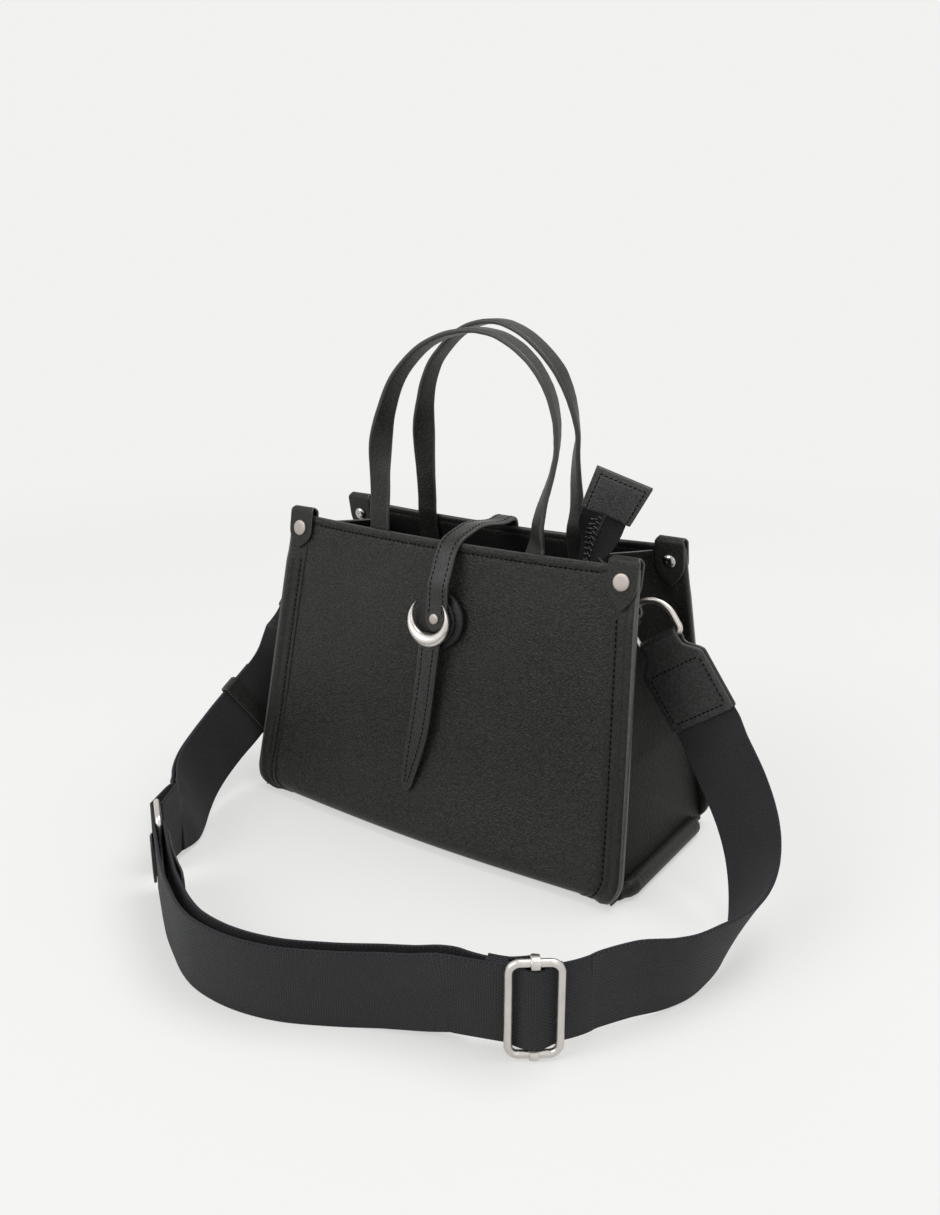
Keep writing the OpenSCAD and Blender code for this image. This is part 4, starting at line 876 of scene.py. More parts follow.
# Handles: across, share of the rise, and share of a quarter turn, from the right foot over to the left one
FRONT_LINE = [
    (53, -0.262, 0), (53, -0.21, 0), (53, -0.16, 0.02), (52.6, -0.115, 0.12), (52.6, -0.065, 0.26),
    (53.5, 0, 0.38), (54.5, 0.06, 0.43), (55.6, 0.13, 0.50), (57.2, 0.20, 0.59), (59.7, 0.29, 0.65),
    (61.7, 0.40, 0.68), (61.9, 0.49, 0.74), (60.6, 0.59, 0.79), (56.8, 0.70, 0.86), (51.6, 0.785, 0.90),
    (44.5, 0.865, 0.95), (35, 0.935, 1), (24, 0.985, 1), (12, 1.005, 1), (1, 1.0, 1), (-11, 0.975, 1),
    (-25, 0.915, 1), (-37, 0.82, 0.97), (-45.2, 0.72, 0.93), (-50, 0.61, 0.87), (-53.2, 0.50, 0.74),
    (-54.7, 0.38, 0.44), (-54.2, 0.25, 0.12), (-52.9, 0.12, 0.04), (-52.4, 0, 0), (-52.4, -0.08, 0),
    (-52.6, -0.16, 0), (-53, -0.21, 0), (-53, -0.262, 0)]
BACK_LINE = [
    (52.6, -0.25, 0), (52.6, -0.20, 0), (52.6, -0.15, 0.02), (52.6, -0.11, 0.10), (52.5, -0.065, 0.20),
    (52.5, 0, 0.30), (52.5, 0.07, 0.35), (52.5, 0.14, 0.39), (52.3, 0.22, 0.45), (52.8, 0.35, 0.58),
    (53.8, 0.43, 0.67), (53.2, 0.50, 0.72), (50.8, 0.60, 0.83), (47.1, 0.69, 0.92), (41.4, 0.78, 1),
    (32, 0.87, 1), (20.6, 0.945, 1), (9, 0.99, 1), (-1, 1.0, 1), (-12, 0.985, 1), (-23, 0.94, 1),
    (-33, 0.865, 1), (-41.5, 0.775, 0.98), (-46.9, 0.67, 0.93), (-50, 0.56, 0.84), (-51.7, 0.46, 0.62),
    (-52.4, 0.35, 0.30), (-52.7, 0.23, 0.10), (-52.9, 0.12, 0.02), (-53.2, 0, 0), (-53.2, -0.07, 0),
    (-53.2, -0.15, 0), (-53.2, -0.20, 0), (-53.2, -0.25, 0)]
BEND_Z = BAG_H + 2
BEND_Y = inner_y(BAG_H - EDGE_DROP) - HANDLE_T / 2
BLEND_FROM_Z, BLEND_TO_Z = 176, 190


def handle(side, rise, lean, shares, label):
    line = curve(shares, 5)
    stations = []
    for i, (x, share, turn) in enumerate(line):
        a, b = line[max(i - 1, 0)], line[min(i + 1, len(line) - 1)]
        t = unit(vec(b[0] - a[0], 0, (b[1] - a[1]) * rise))
        z = BEND_Z + share * rise
        angle = turn * math.pi / 2
        room = HANDLE_W / 2 * math.sin(angle) * (1 - smooth((z - BLEND_FROM_Z) / 14))
        foot = inner_y(min(z, BAG_H - EDGE_DROP)) - HANDLE_T / 2 - (0.1 if share < 0 else 0)
        y = foot - lean * math.sin(min(1, max(0, share)) * math.pi / 2) - room
        w = vec(-t[2], 0, t[0]) * math.cos(angle) + vec(0, math.sin(angle), 0)
        stations.append([x, side * y, z, *w])
    s = Strip(stations)
    s = s.changed(c=s.c + s.n * 0.05 * np.sin(s.l * 2.1)[:, None])
    strap(label + "_handle_strap", s, HANDLE_W, HANDLE_T, None, [TRIM, EDGE],
          (label + "_handle", label + "_handle_ends"),
          blend=("bag", label + "_handle", (0, side * BEND_Y, BLEND_FROM_Z), (0, side * BEND_Y, BLEND_TO_Z)))


# Closure
CRESCENT_X = -1.7
CRESCENT_R, CUT_R, CUT_UP = 14.2, 10.9, 4.4
CRESCENT_FOOT_N, CRESCENT_N, CRESCENT_HIGH = 8.85, 9.0, 2.8
STRAP_X = 2.2
STRAP_END = CRESCENT_L - 5.9
POINT_T = 2.2
POINT_LEAN = math.radians(1.8)
# length up the face, left edge and right edge of the pointed tab
POINT_EDGES = [(124, -7.4, 6.2), (114, -7.5, 5.6), (101, -7.8, 4.8), (88, -8.7, 4.2), (75, -9.7, 3.3),
               (66, -10.6, 2.2), (57, -11.5, 0.4), (50, -12.0, -1.4), (43, -12.4, -3.3),
               (36, -12.6, -5.2), (32.6, -12.3, -6.3), (30.9, -11.2, -7.7)]
EDGES_UP = np.array(curve(POINT_EDGES, 5))[::-1]
# back to front, and height, of the closure strap over the mouth
CLOSURE_LINE = [(31.1, 160), (30.6, 166), (30.2, 171), (29.7, 174.4), (28.0, 176.9), (24.5, 177.2),
                (18, 176.2), (10, 176.8), (1, 178.1), (-8, 178.4), (-16, 177.0), (-22, 175.6),
                (-27, 173.9), (-31, 170.8), (-34.6, 165.6), (-37.2, 159.5)]
ROUND_END = (0.05, 0.3, 0.5, 0.65, 0.77, 0.86, 0.93, 0.97, 0.995)


def closure_strap():
    mid_n = STRAP_N + CLOSURE_T / 2
    end_mid = STRAP_END + CLOSURE_W / 2
    path = [(half_d(z) + SEAT / math.cos(SLOPE) + CLOSURE_T / 2, z) for z in (133.7, 144)] + CLOSURE_LINE
    for l, more in ((CRESCENT_L + 20, 1.0), (CRESCENT_L + 11, 0.2), (end_mid, 0)):
        path.append(on_face(0, l, mid_n + more)[1:])
    line = curve(path, 5)
    widths = [CLOSURE_W] * len(line) + [CLOSURE_W * math.sqrt(1 - v * v) for v in ROUND_END]
    line += [on_face(0, end_mid - CLOSURE_W / 2 * v, mid_n)[1:] for v in ROUND_END]
    s = Strip([[STRAP_X, *p, 1, 0, 0] for p in line])
    crosses = ("bag", "closure", (0, 30, 172), (0, 19, 178))
    strap("closure_strap_leather", s, CLOSURE_W, CLOSURE_T, None, [FLAP, EDGE],
          ("closure_strap", "closure_strap_base"), widths=widths, blend=crosses)
    lines = [s.line(a, CLOSURE_T / 2 + 0.02, 4, 9) for a in (-4.3, 4.3)]
    stitches("closure_strap_stitches", lines, None, blend=crosses)


def tab_edges(l):
    return [np.interp(l, EDGES_UP[:, 0], EDGES_UP[:, k]) for k in (1, 2)]


def tab_point(k, l, out=0.0):
    """A point of the tab: k from its left edge to its right edge at a length up the face."""
    a, b = tab_edges(l)
    lean = math.tan(POINT_LEAN) * (POINT_EDGES[0][0] - l)
    n = STRAP_N + POINT_T - lean + 0.25 * math.sin(math.pi * k) + out
    return on_face(a + (b - a) * k, l, n)


def pointed_tab():
    grid = [[tab_point(k, l) for k in np.linspace(0, 1, 13)] for l in EDGES_UP[::-1, 0]]
    leaf("closure_point_leather", grid, POINT_T, "closure", [FLAP, EDGE], ("closure_tab",),
         edge=0.5, flip=True)
    lines = []
    for from_left in (True, False):
        points = []
        for l in np.arange(119, 34.5, -0.8):
            a, b = tab_edges(l)
            room = min(2.8, (b - a) * 0.4) / (b - a)
            points.append(tab_point(room if from_left else 1 - room, l, 0.03))
        lines.append(along(points, face_normal()))
    stitches("closure_point_stitches", lines, "closure", pitch=2.9)


def crescent():
    """A disc less a smaller one set higher: widest at its foot, and half round in section."""
    mid_l = CRESCENT_L - 1.6
    tip_y = (CRESCENT_R**2 - CUT_R**2 + CUT_UP**2) / (2 * CUT_UP)
    tip_x = math.sqrt(CRESCENT_R**2 - tip_y * tip_y)
    outer_turn = math.atan2(tip_y, tip_x) + math.pi / 2
    inner_turn = math.atan2(tip_y - CUT_UP, tip_x) + math.pi / 2
    across, steps = 12, 72
    verts = []
    for share in np.linspace(-1, 1, steps + 1):
        a, b = share * outer_turn - math.pi / 2, share * inner_turn - math.pi / 2
        outer = vec(CRESCENT_R * math.cos(a), CRESCENT_R * math.sin(a))
        inner = vec(CUT_R * math.cos(b), CUT_UP + CUT_R * math.sin(b))
        wide = max(0.18, np.linalg.norm(outer - inner) / 7.7)
        row = [outer + (inner - outer) * j / across for j in range(across + 1)]
        for j, (x, l) in enumerate(row):
            dome = math.sin(math.pi * j / across) ** 0.55 if 0 < j < across else 0
            n = CRESCENT_N + CRESCENT_HIGH * dome * wide**0.45
            verts.append(on_face(CRESCENT_X + x, mid_l + l, n))
        verts += [on_face(CRESCENT_X + x, mid_l + l, CRESCENT_FOOT_N) for x, l in reversed(row)]
    m = 2 * (across + 1)
    faces = quads(steps + 1, m) + [cap(0, m, True), cap(steps * m, m)]
    add("crescent_metal", verts, faces, "closure", [BRIGHT], ("crescent",))


def snap():
    n = [face_normal()]
    rivet = on_face(2.0, CRESCENT_L + 1.0, STRAP_N + CLOSURE_T + 0.05)
    lathe("closure_rivet_cap", SMALL_CAP, [rivet], n, "closure", [CAP], ("closure_rivet",))
    for name, profile, place, body, node in (
            ("snap_puck_leather", PUCK, (1.4, CRESCENT_L, 0.3), "bag", "snap_puck"),
            ("snap_disc_leather", DISC, (-0.4, CRESCENT_L - 0.6, 4.6), "closure", "closure_backing")):
        lathe(name, profile, [on_face(*place)], n, body, [DARK], (node,), turns=64)


# Zip
def leaning(lean, turn):
    """The ways up and across of something that leans to the right and is turned about its height."""
    lean, turn = math.radians(lean), math.radians(turn)
    across = vec(math.cos(lean) * math.cos(turn), -math.sin(turn), -math.sin(lean) * math.cos(turn))
    return vec(math.sin(lean), 0, math.cos(lean)), across


TAIL_UP, TAIL_ACROSS = leaning(16, 35)
END_UP, END_ACROSS = leaning(26, -30)
END_NORMAL = np.cross(END_ACROSS, END_UP)
TAIL_FOOT = vec(64.8, 0, 139)
TAIL_BEND = TAIL_FOOT + TAIL_UP * 33.2
END_FOOT = TAIL_BEND + (TAIL_UP + END_UP) / 2 * 23
TAIL_HALF = 12
LOOP_PITCH, LOOP_REACH, LOOP_START, LOOP_STOP, LOOP_N = 3.1, 3.7, 1.0, 15, 0.55
# share of a loop's length, and thickness there
LOOP_RINGS = ((0, 0.4), (0.12, 0.9), (0.5, 1.0), (0.88, 0.9), (1, 0.35))
# height over a tooth's middle, and thickness there
TOOTH_RINGS = ((-1.4, 0.6), (-0.4, 1), (1.0, 1), (1.7, 0.5))
TOOTH_PITCH = 2.2


def tail_middle(l):
    """Where the teeth lie across the tail."""
    return -3.2 * smooth((l - 22) / 24)


def tail_coil(strip):
    """The coil's loops, seen as chevrons on both faces of the tail."""
    verts, faces = [], []
    total = strip.l[-1] - strip.l[0]
    for i in range(int((total - LOOP_START - LOOP_STOP) / LOOP_PITCH)):
        l = strip.l[0] + LOOP_START + i * LOOP_PITCH
        middle = tail_middle(l)
        for sx in (-1, 1):
            c, t, w, n = strip.at(l + (LOOP_PITCH / 2 if sx > 0 else 0))
            for face in (-1, 1):
                n_out = n * face
                a = c + w * (middle - sx * 0.5) + n_out * LOOP_N
                b = c + w * (middle + sx * LOOP_REACH) - t * 1.6 + n_out * LOOP_N
                side = np.cross(n, unit(b - a))
                base = len(verts)
                for q, k in LOOP_RINGS:
                    verts += ring(a + (b - a) * q + n_out * 0.25, side * 0.95 * k, n_out * 0.8 * k, 6)
                loop = quads(5, 6, base) + [cap(base, 6, True), cap(base + 24, 6)]
                faces += loop if face > 0 else turned(loop)
    add("zip_tail_coil", verts, faces, "bag", [TEETH], ("zip_tail_teeth",))


def zip_tail():
    places = [TAIL_FOOT, TAIL_FOOT + TAIL_UP * 16.6, TAIL_BEND, (TAIL_BEND + END_FOOT) / 2, END_FOOT,
              END_FOOT + END_UP * 16.8]
    ways = [TAIL_ACROSS] * 3 + [unit(TAIL_ACROSS + END_ACROSS)] + [END_ACROSS] * 2
    s = Strip(curve([[*p, *w] for p, w in zip(places, ways)], 8))
    middle = np.array([tail_middle(l) for l in s.l])

    def beside_middle(across):
        return s.changed(c=s.c + s.w * across[:, None])

    left = (-TAIL_HALF + middle * 0.2, middle - 1.2)
    right = (middle + 1.2, np.full_like(middle, TAIL_HALF))
    for label, (a, b) in (("left", left), ("right", right)):
        strap(f"zip_tail_{label}_tape", beside_middle((a + b) / 2), 9, TAPE_T, "bag", [TAPE],
              ("zip_tail_tape",), kind="web", widths=b - a)
    strap("zip_tail_base", beside_middle(middle), 7.0, 1.1, "bag", [TEETH], ("zip_tail_teeth",),
          kind="web")
    tail_coil(s)


def end_point(u, v, face, bow=0.0, out=0.0):
    """A point of the zip's leather end: u across and v up, in one of two leaves pinched at their edges."""
    edge = min(1 - abs(u), (1 - v) * 1.6, v * 1.6 + 0.25)
    puff = 1.45 + 1.35 * smooth(edge / 0.3) + out
    up = 0.6 + 23.4 * v + bow * (1 - v) * (1 - u * u)
    return END_FOOT + END_ACROSS * (13.8 + 1.6 * v) * u + END_UP * up + END_NORMAL * face * puff


def zip_end():
    seam = [(-0.83, v) for v in np.linspace(0.04, 0.90, 40)]
    seam += [(u, 0.90) for u in np.linspace(-0.83, 0.83, 40)]
    seam += [(0.83, v) for v in np.linspace(0.90, 0.04, 40)]
    for face, label in ((1, "front"), (-1, "back")):
        grid = [[end_point(u, v, face, bow=1.3) for u in np.linspace(-1, 1, 25)]
                for v in np.linspace(0, 1, 22)]
        leaf(f"zip_end_{label}_leaf", grid, 1.35, "bag", [PULL_END, EDGE], ("zip_end_tab",),
             edge=0.5, flip=face < 0)
        points = [end_point(u, v, face, out=0.05) for u, v in seam]
        stitches(f"zip_end_{label}_stitches", [along(points, END_NORMAL * face)], "bag", pitch=2.8)


def mouth_tapes():
    """Tapes and teeth along the walls of the mouth, meeting at the tail."""
    wall = inner_y(LINING_TOP_Z) - LINING_IN - TAPE_T - SEAT
    for side, label in SIDES:
        end = TAIL_FOOT - TAIL_ACROSS * side * 12.6
        plan = [(-80, wall), (-40, wall), (0, wall), (36, wall), (44, wall - 2)]
        plan += [(end[0] - 3, abs(end[1]) + 3), (end[0], abs(end[1]))]
        tape = Strip(curve([vec(x, side * y, LINING_TOP_Z - 6, *UP) for x, y in plan], 8))
        strap(f"zip_{label}_tape", tape, 12, TAPE_T, "bag", [TAPE], (f"zip_tape_{label}",),
              kind="web")
        verts, faces = [], []
        for i in range(int(121 / TOOTH_PITCH)):
            c = vec(-79 + i * TOOTH_PITCH, side * (wall - 1.4), LINING_TOP_Z - 1.4)
            base = len(verts)
            for dz, k in TOOTH_RINGS:
                verts += ring(c + vec(0, 0, dz), vec(0.62 * k, 0, 0), vec(0, 0.85 * k, 0), 6)
            faces += quads(4, 6, base) + [cap(base, 6, True), cap(base + 18, 6)]
        add(f"zip_{label}_coil", verts, faces, "bag", [TEETH], (f"zip_teeth_{label}",))


# Rings, frames and chapes
def rounded_rectangle(half_x, half_y, r):
    corners = []
    for x, y, start in ((1, 1, 0), (-1, 1, 90), (-1, -1, 180), (1, -1, 270)):
        middle = vec(x * (half_x - r), y * (half_y - r))
        corners += [middle + around(start + a)[:2] * r for a in range(0, 91, 9)]
    out = []
    for p, q in zip(corners, corners[1:] + corners[:1]):
        out.append(p)
        if math.dist(p, q) > 4:
            out += [p + (q - p) * k / 6 for k in range(1, 6)]
    return out


HANG = math.radians(35)
RING_TOP = vec(104.95, 0, 148.5)
RING_ACROSS = vec(math.cos(HANG), 0, math.sin(HANG))
RING_DOWN = vec(math.sin(HANG), 0, -math.cos(HANG))
RING_OUT = vec(0, -1, 0)
BOW_R, BAR_DOWN, WIRE_R, RING_CORNER = 13.4, 22.6, 1.8, 3
CHAPE_L, CHAPE_HALF, CHAPE_NECK, CHAPE_ROUND, CHAPE_BEND = 47, 19.0, 11, 1.6, 3.7
CHAPE_SEAM_X, CHAPE_SEAM = 16.2, (15.6, 43.4)
WEB_IN_CHAPE, WEB_TO_CUT = 16.4, 30.6


def ring_point(x, down, n, sx):
    p = RING_TOP + RING_ACROSS * x + RING_DOWN * down + RING_OUT * n
    return p * vec(sx, 1, 1)


def d_ring(sx, label):
    node = label + "_d_ring"
    path = [(BOW_R * math.cos(a), BOW_R - BOW_R * math.sin(a)) for a in np.linspace(0, math.pi, 37)]
    quarter = np.linspace(0, math.pi / 2, 7)
    x, down = BOW_R - RING_CORNER, BAR_DOWN - RING_CORNER
    path += [(-BOW_R, 16)]
    path += [(-x - RING_CORNER * math.cos(a), down + RING_CORNER * math.sin(a)) for a in quarter]
    path += [(-6, BAR_DOWN), (0, BAR_DOWN), (6, BAR_DOWN)]
    path += [(x + RING_CORNER * math.sin(a), down + RING_CORNER * math.cos(a)) for a in quarter]
    path += [(BOW_R, 16)]
    points = [ring_point(x, d, 0, sx) for x, d in path]
    closed_tube(node + "_metal", points, RING_OUT, WIRE_R, node, node)
    # leather tab that holds the ring in the gusset's fold, beside the ring's top
    hole = WIRE_R + 0.8 + SEAT
    neck = -3.4
    rows = [(-14, 1.6), (-10, 1.9), (-6, 2.6), (neck, hole + 0.7)]
    turn = np.linspace(-0.5, math.pi + 0.5, 20)
    outline = rows + [((hole + CHAPE_T) * math.sin(a), (hole + CHAPE_T) * math.cos(a)) for a in turn]
    outline += [(d, -n) for d, n in reversed(rows)]
    into = -vec(math.cos(math.radians(20)), 0, math.sin(math.radians(20)))
    grid = []
    for d, n in outline:
        stem = RING_DOWN * max(d, neck) + into * max(0, neck - d)
        row = []
        for k in np.linspace(-1, 1, 9):
            across = -7.6 + 3.3 * k
            down = BOW_R - math.sqrt(BOW_R**2 - across**2)
            row.append(ring_point(across, down, n, sx) + stem * vec(sx, 1, 1))
        grid.append(row)
    # the tab takes the dark leather: partly its own black and partly painted shade for the shadowed fold
    # behind the ring
    leaf(node + "_loop", grid, CHAPE_T, "bag", [DARK, EDGE], (node + "_tab",),
         edge=0.4, flip=sx < 0)


def chape_half(d):
    """Half width of a chape at a distance from the ring's bar."""
    if d < 15:
        return CHAPE_NECK + 8.0 * smooth((d - 5.0) / 9.5)
    past = max(0, CHAPE_ROUND - (CHAPE_L - d))
    return CHAPE_HALF - CHAPE_ROUND + math.sqrt(max(0, CHAPE_ROUND**2 - past**2))


def chape(sx, label):
    ds = [*(CHAPE_L - CHAPE_ROUND * vec(0, 0.1, 0.3, 0.6, 1.0)), *np.linspace(44, 18, 10),
          *np.linspace(17, 4.6, 12)]
    leg = [(d, 2.6 + 0.5 * smooth((14 - d) / 10), chape_half(d)) for d in ds] + [(2.4, 3.55, CHAPE_NECK)]
    outline = list(leg)
    for a in np.linspace(-0.25, math.pi + 0.25, 40):
        r = CHAPE_BEND + 0.16 * math.sin(a * 11)
        outline.append((-r * math.sin(a), r * math.cos(a), CHAPE_NECK))
    outline += [(d, -n, half) for d, n, half in reversed(leg)]
    grid = []
    for d, n, half in outline:
        grid.append([ring_point(half * k, BAR_DOWN + d, n, sx) for k in np.linspace(-1, 1, 21)])
    leaf(label + "_chape_leather", grid, CHAPE_T, label + "_chape", [CHAPE_LIT, EDGE],
         (label + "_chape",), edge=0.45, flip=sx < 0)
    x, (near, far) = CHAPE_SEAM_X, CHAPE_SEAM
    corners = [vec(*p) for p in ((-x, near), (x, near), (x, far), (-x, far), (-x, near))]
    for face, where in ((1, "front"), (-1, "back")):
        lines = []
        for p, q in zip(corners, corners[1:]):
            row = [p + (q - p) * k for k in np.linspace(0.03, 0.97, 30)]
            points = [ring_point(at[0], BAR_DOWN + at[1], face * 2.62, sx) for at in row]
            lines.append(along(points, RING_OUT * face))
        stitches(f"{label}_chape_{where}_stitches", lines, label + "_chape", pitch=2.95, length=2.2, wide=0.9)


# Shoulder strap, along the CAD source's route
SLIDER_Z, RING_Z, BEND_R, SLIDER_ANGLE = 24.85, 22.75, 50.5, -53
BEND_MID = vec(117, -133, 0)
LOOP_R = 1.7 + SEAT + WEB_T / 2
BEND_END, OPEN_GAP = -72, 6.2
# place of the webbing's middle, and the way of its width
RIGHT_ROUTE = [
    [155, -4, 78, 0.79, 0, 0.61], [166, -9, 65, 0.77, 0, 0.64], [176, -16, 53, 0.75, -0.04, 0.66],
    [184, -25, 42, 0.72, -0.08, 0.69], [190, -37, 33, 0.67, -0.12, 0.74], [194, -51, 26, 0.57, -0.15, 0.80],
    [196, -65, 22, 0.44, -0.17, 0.88], [195, -79, 20, 0.30, -0.16, 0.94], [192, -93, 19.5, 0.19, -0.13, 0.97],
    [188, -106, 19.5, 0.12, -0.10, 0.99], [181, -119, 20.5, 0.05, -0.05, 1], [173, -132, 23, 0, 0, 1]]
FRONT_ROUTE = [
    [101, -191.2, 21.8], [85, -197.4, 19.9], [72, -204.2, 19], [60, -211, 19], [47, -217.6, 19],
    [34, -222, 19], [21, -224.5, 19], [8, -225, 19], [-5, -223.5, 19], [-17, -219.5, 19],
    [-28, -214, 19], [-44.5, -205, 20], [-61, -194, 22.5]]
LEFT_ROUTE = [
    [-146, -7, 80, -0.70, -0.32, 0.63], [-144, -16, 71, -0.56, -0.39, 0.72],
    [-143, -26, 63.5, -0.45, -0.43, 0.78], [-143, -38, 56.5, -0.36, -0.44, 0.82],
    [-143, -50, 49.5, -0.36, -0.44, 0.82], [-143, -62, 42.5, -0.36, -0.44, 0.82],
    [-143, -74, 35.5, -0.30, -0.43, 0.85], [-140, -89, 29, -0.27, -0.42, 0.86],
    [-135, -102, 24.5, -0.27, -0.40, 0.87], [-127, -114, 21.5, -0.24, -0.37, 0.90],
    [-118, -124, 20, -0.19, -0.30, 0.93], [-110, -134, 20, -0.15, -0.25, 0.96],
    [-104, -145, 22, -0.05, -0.10, 0.99]]
RING_MID = vec(-87.5, -171.5, RING_Z)
RING_ALONG, RING_FACE = around(-37), around(-37 - 90)
RING_HALF, RING_HIGH, RING_WIRE_R = 12.3, 21.05, 1.7
NEAR_BAR, FAR_BAR = RING_MID + RING_ALONG * RING_HALF, RING_MID - RING_ALONG * RING_HALF
LEFT_ALONG, LEFT_IN = around(-63), around(-63 + 90)
SLIDER_OUT, SLIDER_ALONG = around(SLIDER_ANGLE), around(SLIDER_ANGLE - 90)
SLIDER_HALF, SLIDER_HIGH, SLIDER_WIRE_R, FRAME_CORNER = 10.9, 22.0, 1.8, 4.6
ROD_R, FOLD_R, FOLD_END = 1.7, 2.6, 24
WINDOW = 13
KEEPER_W, KEEPER_T = 11, 1.4
RING_TAB_W, RING_TAB_T = 26, 1.6


def bend_point(degrees, r):
    return BEND_MID + vec(0, 0, SLIDER_Z) + around(degrees) * r


def outer_bend(degrees):
    """The outer layer's place in the bend, straight on along the tangent once past the bend's end."""
    past = math.radians(max(0, BEND_END - degrees))
    return bend_point(degrees, BEND_R / math.cos(past)) - vec(0, 0, 1.6 * past)


def chape_stations():
    """The webbing's first stations, out of the right chape."""
    starts = [RING_TOP + RING_DOWN * (BAR_DOWN + WEB_IN_CHAPE + WEB_TO_CUT * s) for s in (0, 0.5, 1, 1.2)]
    return [vec(*p, *RING_ACROSS) for p in starts]


def half_turn(c, start, past, r):
    turn = np.radians(np.arange(0, 181, 22.5))
    return [vec(*(c + start * r * math.cos(a) + past * r * math.sin(a)), *UP) for a in turn]


def ways_at(run, i):
    """The ways along, across and out of a run of stations at one of them."""
    t = unit(run[min(i + 1, len(run) - 1)][:3] - run[max(i - 1, 0)][:3])
    w = unit(run[i][3:] - t * (run[i][3:] @ t))
    return t, w, np.cross(t, w)


def beside(run, i, gap):
    return vec(*(run[i][:3] - ways_at(run, i)[2] * gap), *run[i][3:])


def web_strap(name, strip, body, node, blend=None):
    strap(name, strip, WEB_W, WEB_T, body, [WEB, WEB_EDGE], (node,), kind="web", blend=blend)


def risers(label, whole, hold, cut, riser_end):
    """The webbing's two parts by the chape and the ring; hold is the station where the chape lets go of it.
    """
    chape_body, ring_body, node = label + "_chape", label + "_d_ring", label + "_strap_riser"
    top_ends, low_ends = (whole.c[hold], whole.c[cut]), (whole.c[cut], whole.c[riser_end])
    web_strap(label + "_webbing_top", whole.part(0, cut), None, node, (chape_body, ring_body, *top_ends))
    web_strap(label + "_webbing_low", whole.part(cut, riser_end), None, node, (ring_body, "bag", *low_ends))


def right_webbing():
    bend = [[*outer_bend(a), *UP] for a in range(-18, -97, -6)]
    front = [[*p, *UP] for p in FRONT_ROUTE]
    outer = curve(chape_stations() + RIGHT_ROUTE + bend + front, 2)
    last = len(outer) - 1
    # two stations for each point: the chape's, the right side's, then the bend's
    bend_start = 2 * (len(chape_stations()) + len(RIGHT_ROUTE))
    inner_end, bend_end = bend_start + 16, bend_start + 24

    def inner_gap(i):
        """The inner layer's distance: close in the bend, open along the front, close again at the ring."""
        leave, arrive = min(1, max(0, i - bend_end) / 10), min(1, (last - i) / 6)
        past = math.radians(min(24, max(0, BEND_END + 18 + 3 * (i - bend_start))))
        on_bend = GAP * 2 + BEND_R * (1 / math.cos(past) - 1)
        free = max(GAP * 2 + (OPEN_GAP - GAP * 2) * leave, min(OPEN_GAP, on_bend))
        return free - (OPEN_GAP - LOOP_R * 2) * (1 - arrive)

    inner = [beside(outer, i, -inner_gap(i)) for i in range(last, inner_end - 1, -1)]
    run = outer + half_turn(NEAR_BAR, RING_FACE, -RING_ALONG, LOOP_R) + inner
    whole = Strip(curve(run, 3))
    cut, riser_end = 11 * 3, 16 * 3
    risers("right", whole, 18, cut, riser_end)
    web_strap("long_webbing_strap", whole.part(riser_end, len(whole.c) - 1), "bag", "long_webbing")


def folded_end():
    """The webbing's sewn end round the slider's bar, and its bulge over the bar in the frame's window."""
    bar_r = BEND_R - GAP - FOLD_R

    def fold_station(a, r):
        return vec(*bend_point(SLIDER_ANGLE - a, r), *UP)

    def inner_r(a):
        share = min(1, a / 12)
        return (bar_r - FOLD_R) * (1 - share) + (BEND_R - GAP * 3) * share

    fold = [fold_station(a, BEND_R - GAP) for a in range(FOLD_END, 2, -3)]
    fold += half_turn(bend_point(SLIDER_ANGLE, bar_r), SLIDER_OUT, -SLIDER_ALONG, FOLD_R)
    fold += [fold_station(a, inner_r(a)) for a in range(3, FOLD_END + 1, 3)]
    web_strap("webbing_folded_end", Strip(curve(fold, 3)), "strap_slider", "webbing_fold_end")
    bulge, widths = [], []
    for a in np.linspace(-WINDOW, WINDOW, 27):
        high = math.cos(math.pi * min(1, abs(a) / 10.5) / 2)
        bulge.append(fold_station(a, BEND_R + 0.35 + 4.0 * high**1.3))
        widths.append(WEB_W + 2.0 - 1.6 * high)
    strap("webbing_over_bar", Strip(bulge), WEB_W, 0.9, "strap_slider", [WEB, WEB_EDGE],
          ("webbing_fold_end",), kind="web", widths=widths)


def left_webbing():
    top = [station * vec(-1, 1, 1, -1, 1, 1) for station in chape_stations()]
    left = curve(top + LEFT_ROUTE, 3)
    last = len(left) - 1
    # stations where the riser ends and where the keeper sits
    riser_l, keeper_at = 18, 24
    free = keeper_at + 3
    band = []
    for i in range(last, riser_l + 1, -1):
        opening = max(0, (i - free) / (last - free)) ** 2
        band.append(beside(left, i, -GAP - (4.5 - GAP) * opening))
    run = left + half_turn(FAR_BAR, LEFT_IN, LEFT_ALONG, LOOP_R) + band
    whole = Strip(curve(run, 3))
    cut, riser_end = 13 * 3, riser_l * 3
    risers("left", whole, 27, cut, riser_end)
    web_strap("short_webbing_strap", whole.part(riser_end, len(whole.c) - 1), "bag", "short_webbing")
    # keeper round both layers
    t, w, n = ways_at(left, keeper_at)
    c = left[keeper_at][:3] + n * GAP / 2
    room = 0.6 + KEEPER_T / 2
    path = rounded_rectangle(WEB_W / 2 + room, GAP / 2 + WEB_T / 2 + room, 1.5)
    keeper = Strip([[*(c + w * x + n * y), *t] for x, y in path + path[:1]], closed=True)
    strap("keeper_leather", keeper, KEEPER_W, KEEPER_T, "keeper", [TRIM, EDGE], ("keeper",),
          caps=False)


# out of the frame, and height
LUG = [(-5.2, 19.2), (-5.2, 20.6), (-4.2, 22.7), (-2.3, 24.05), (0, 24.3), (1.9, 23.6), (2.6, 22.0),
       (1.9, 20.2)]


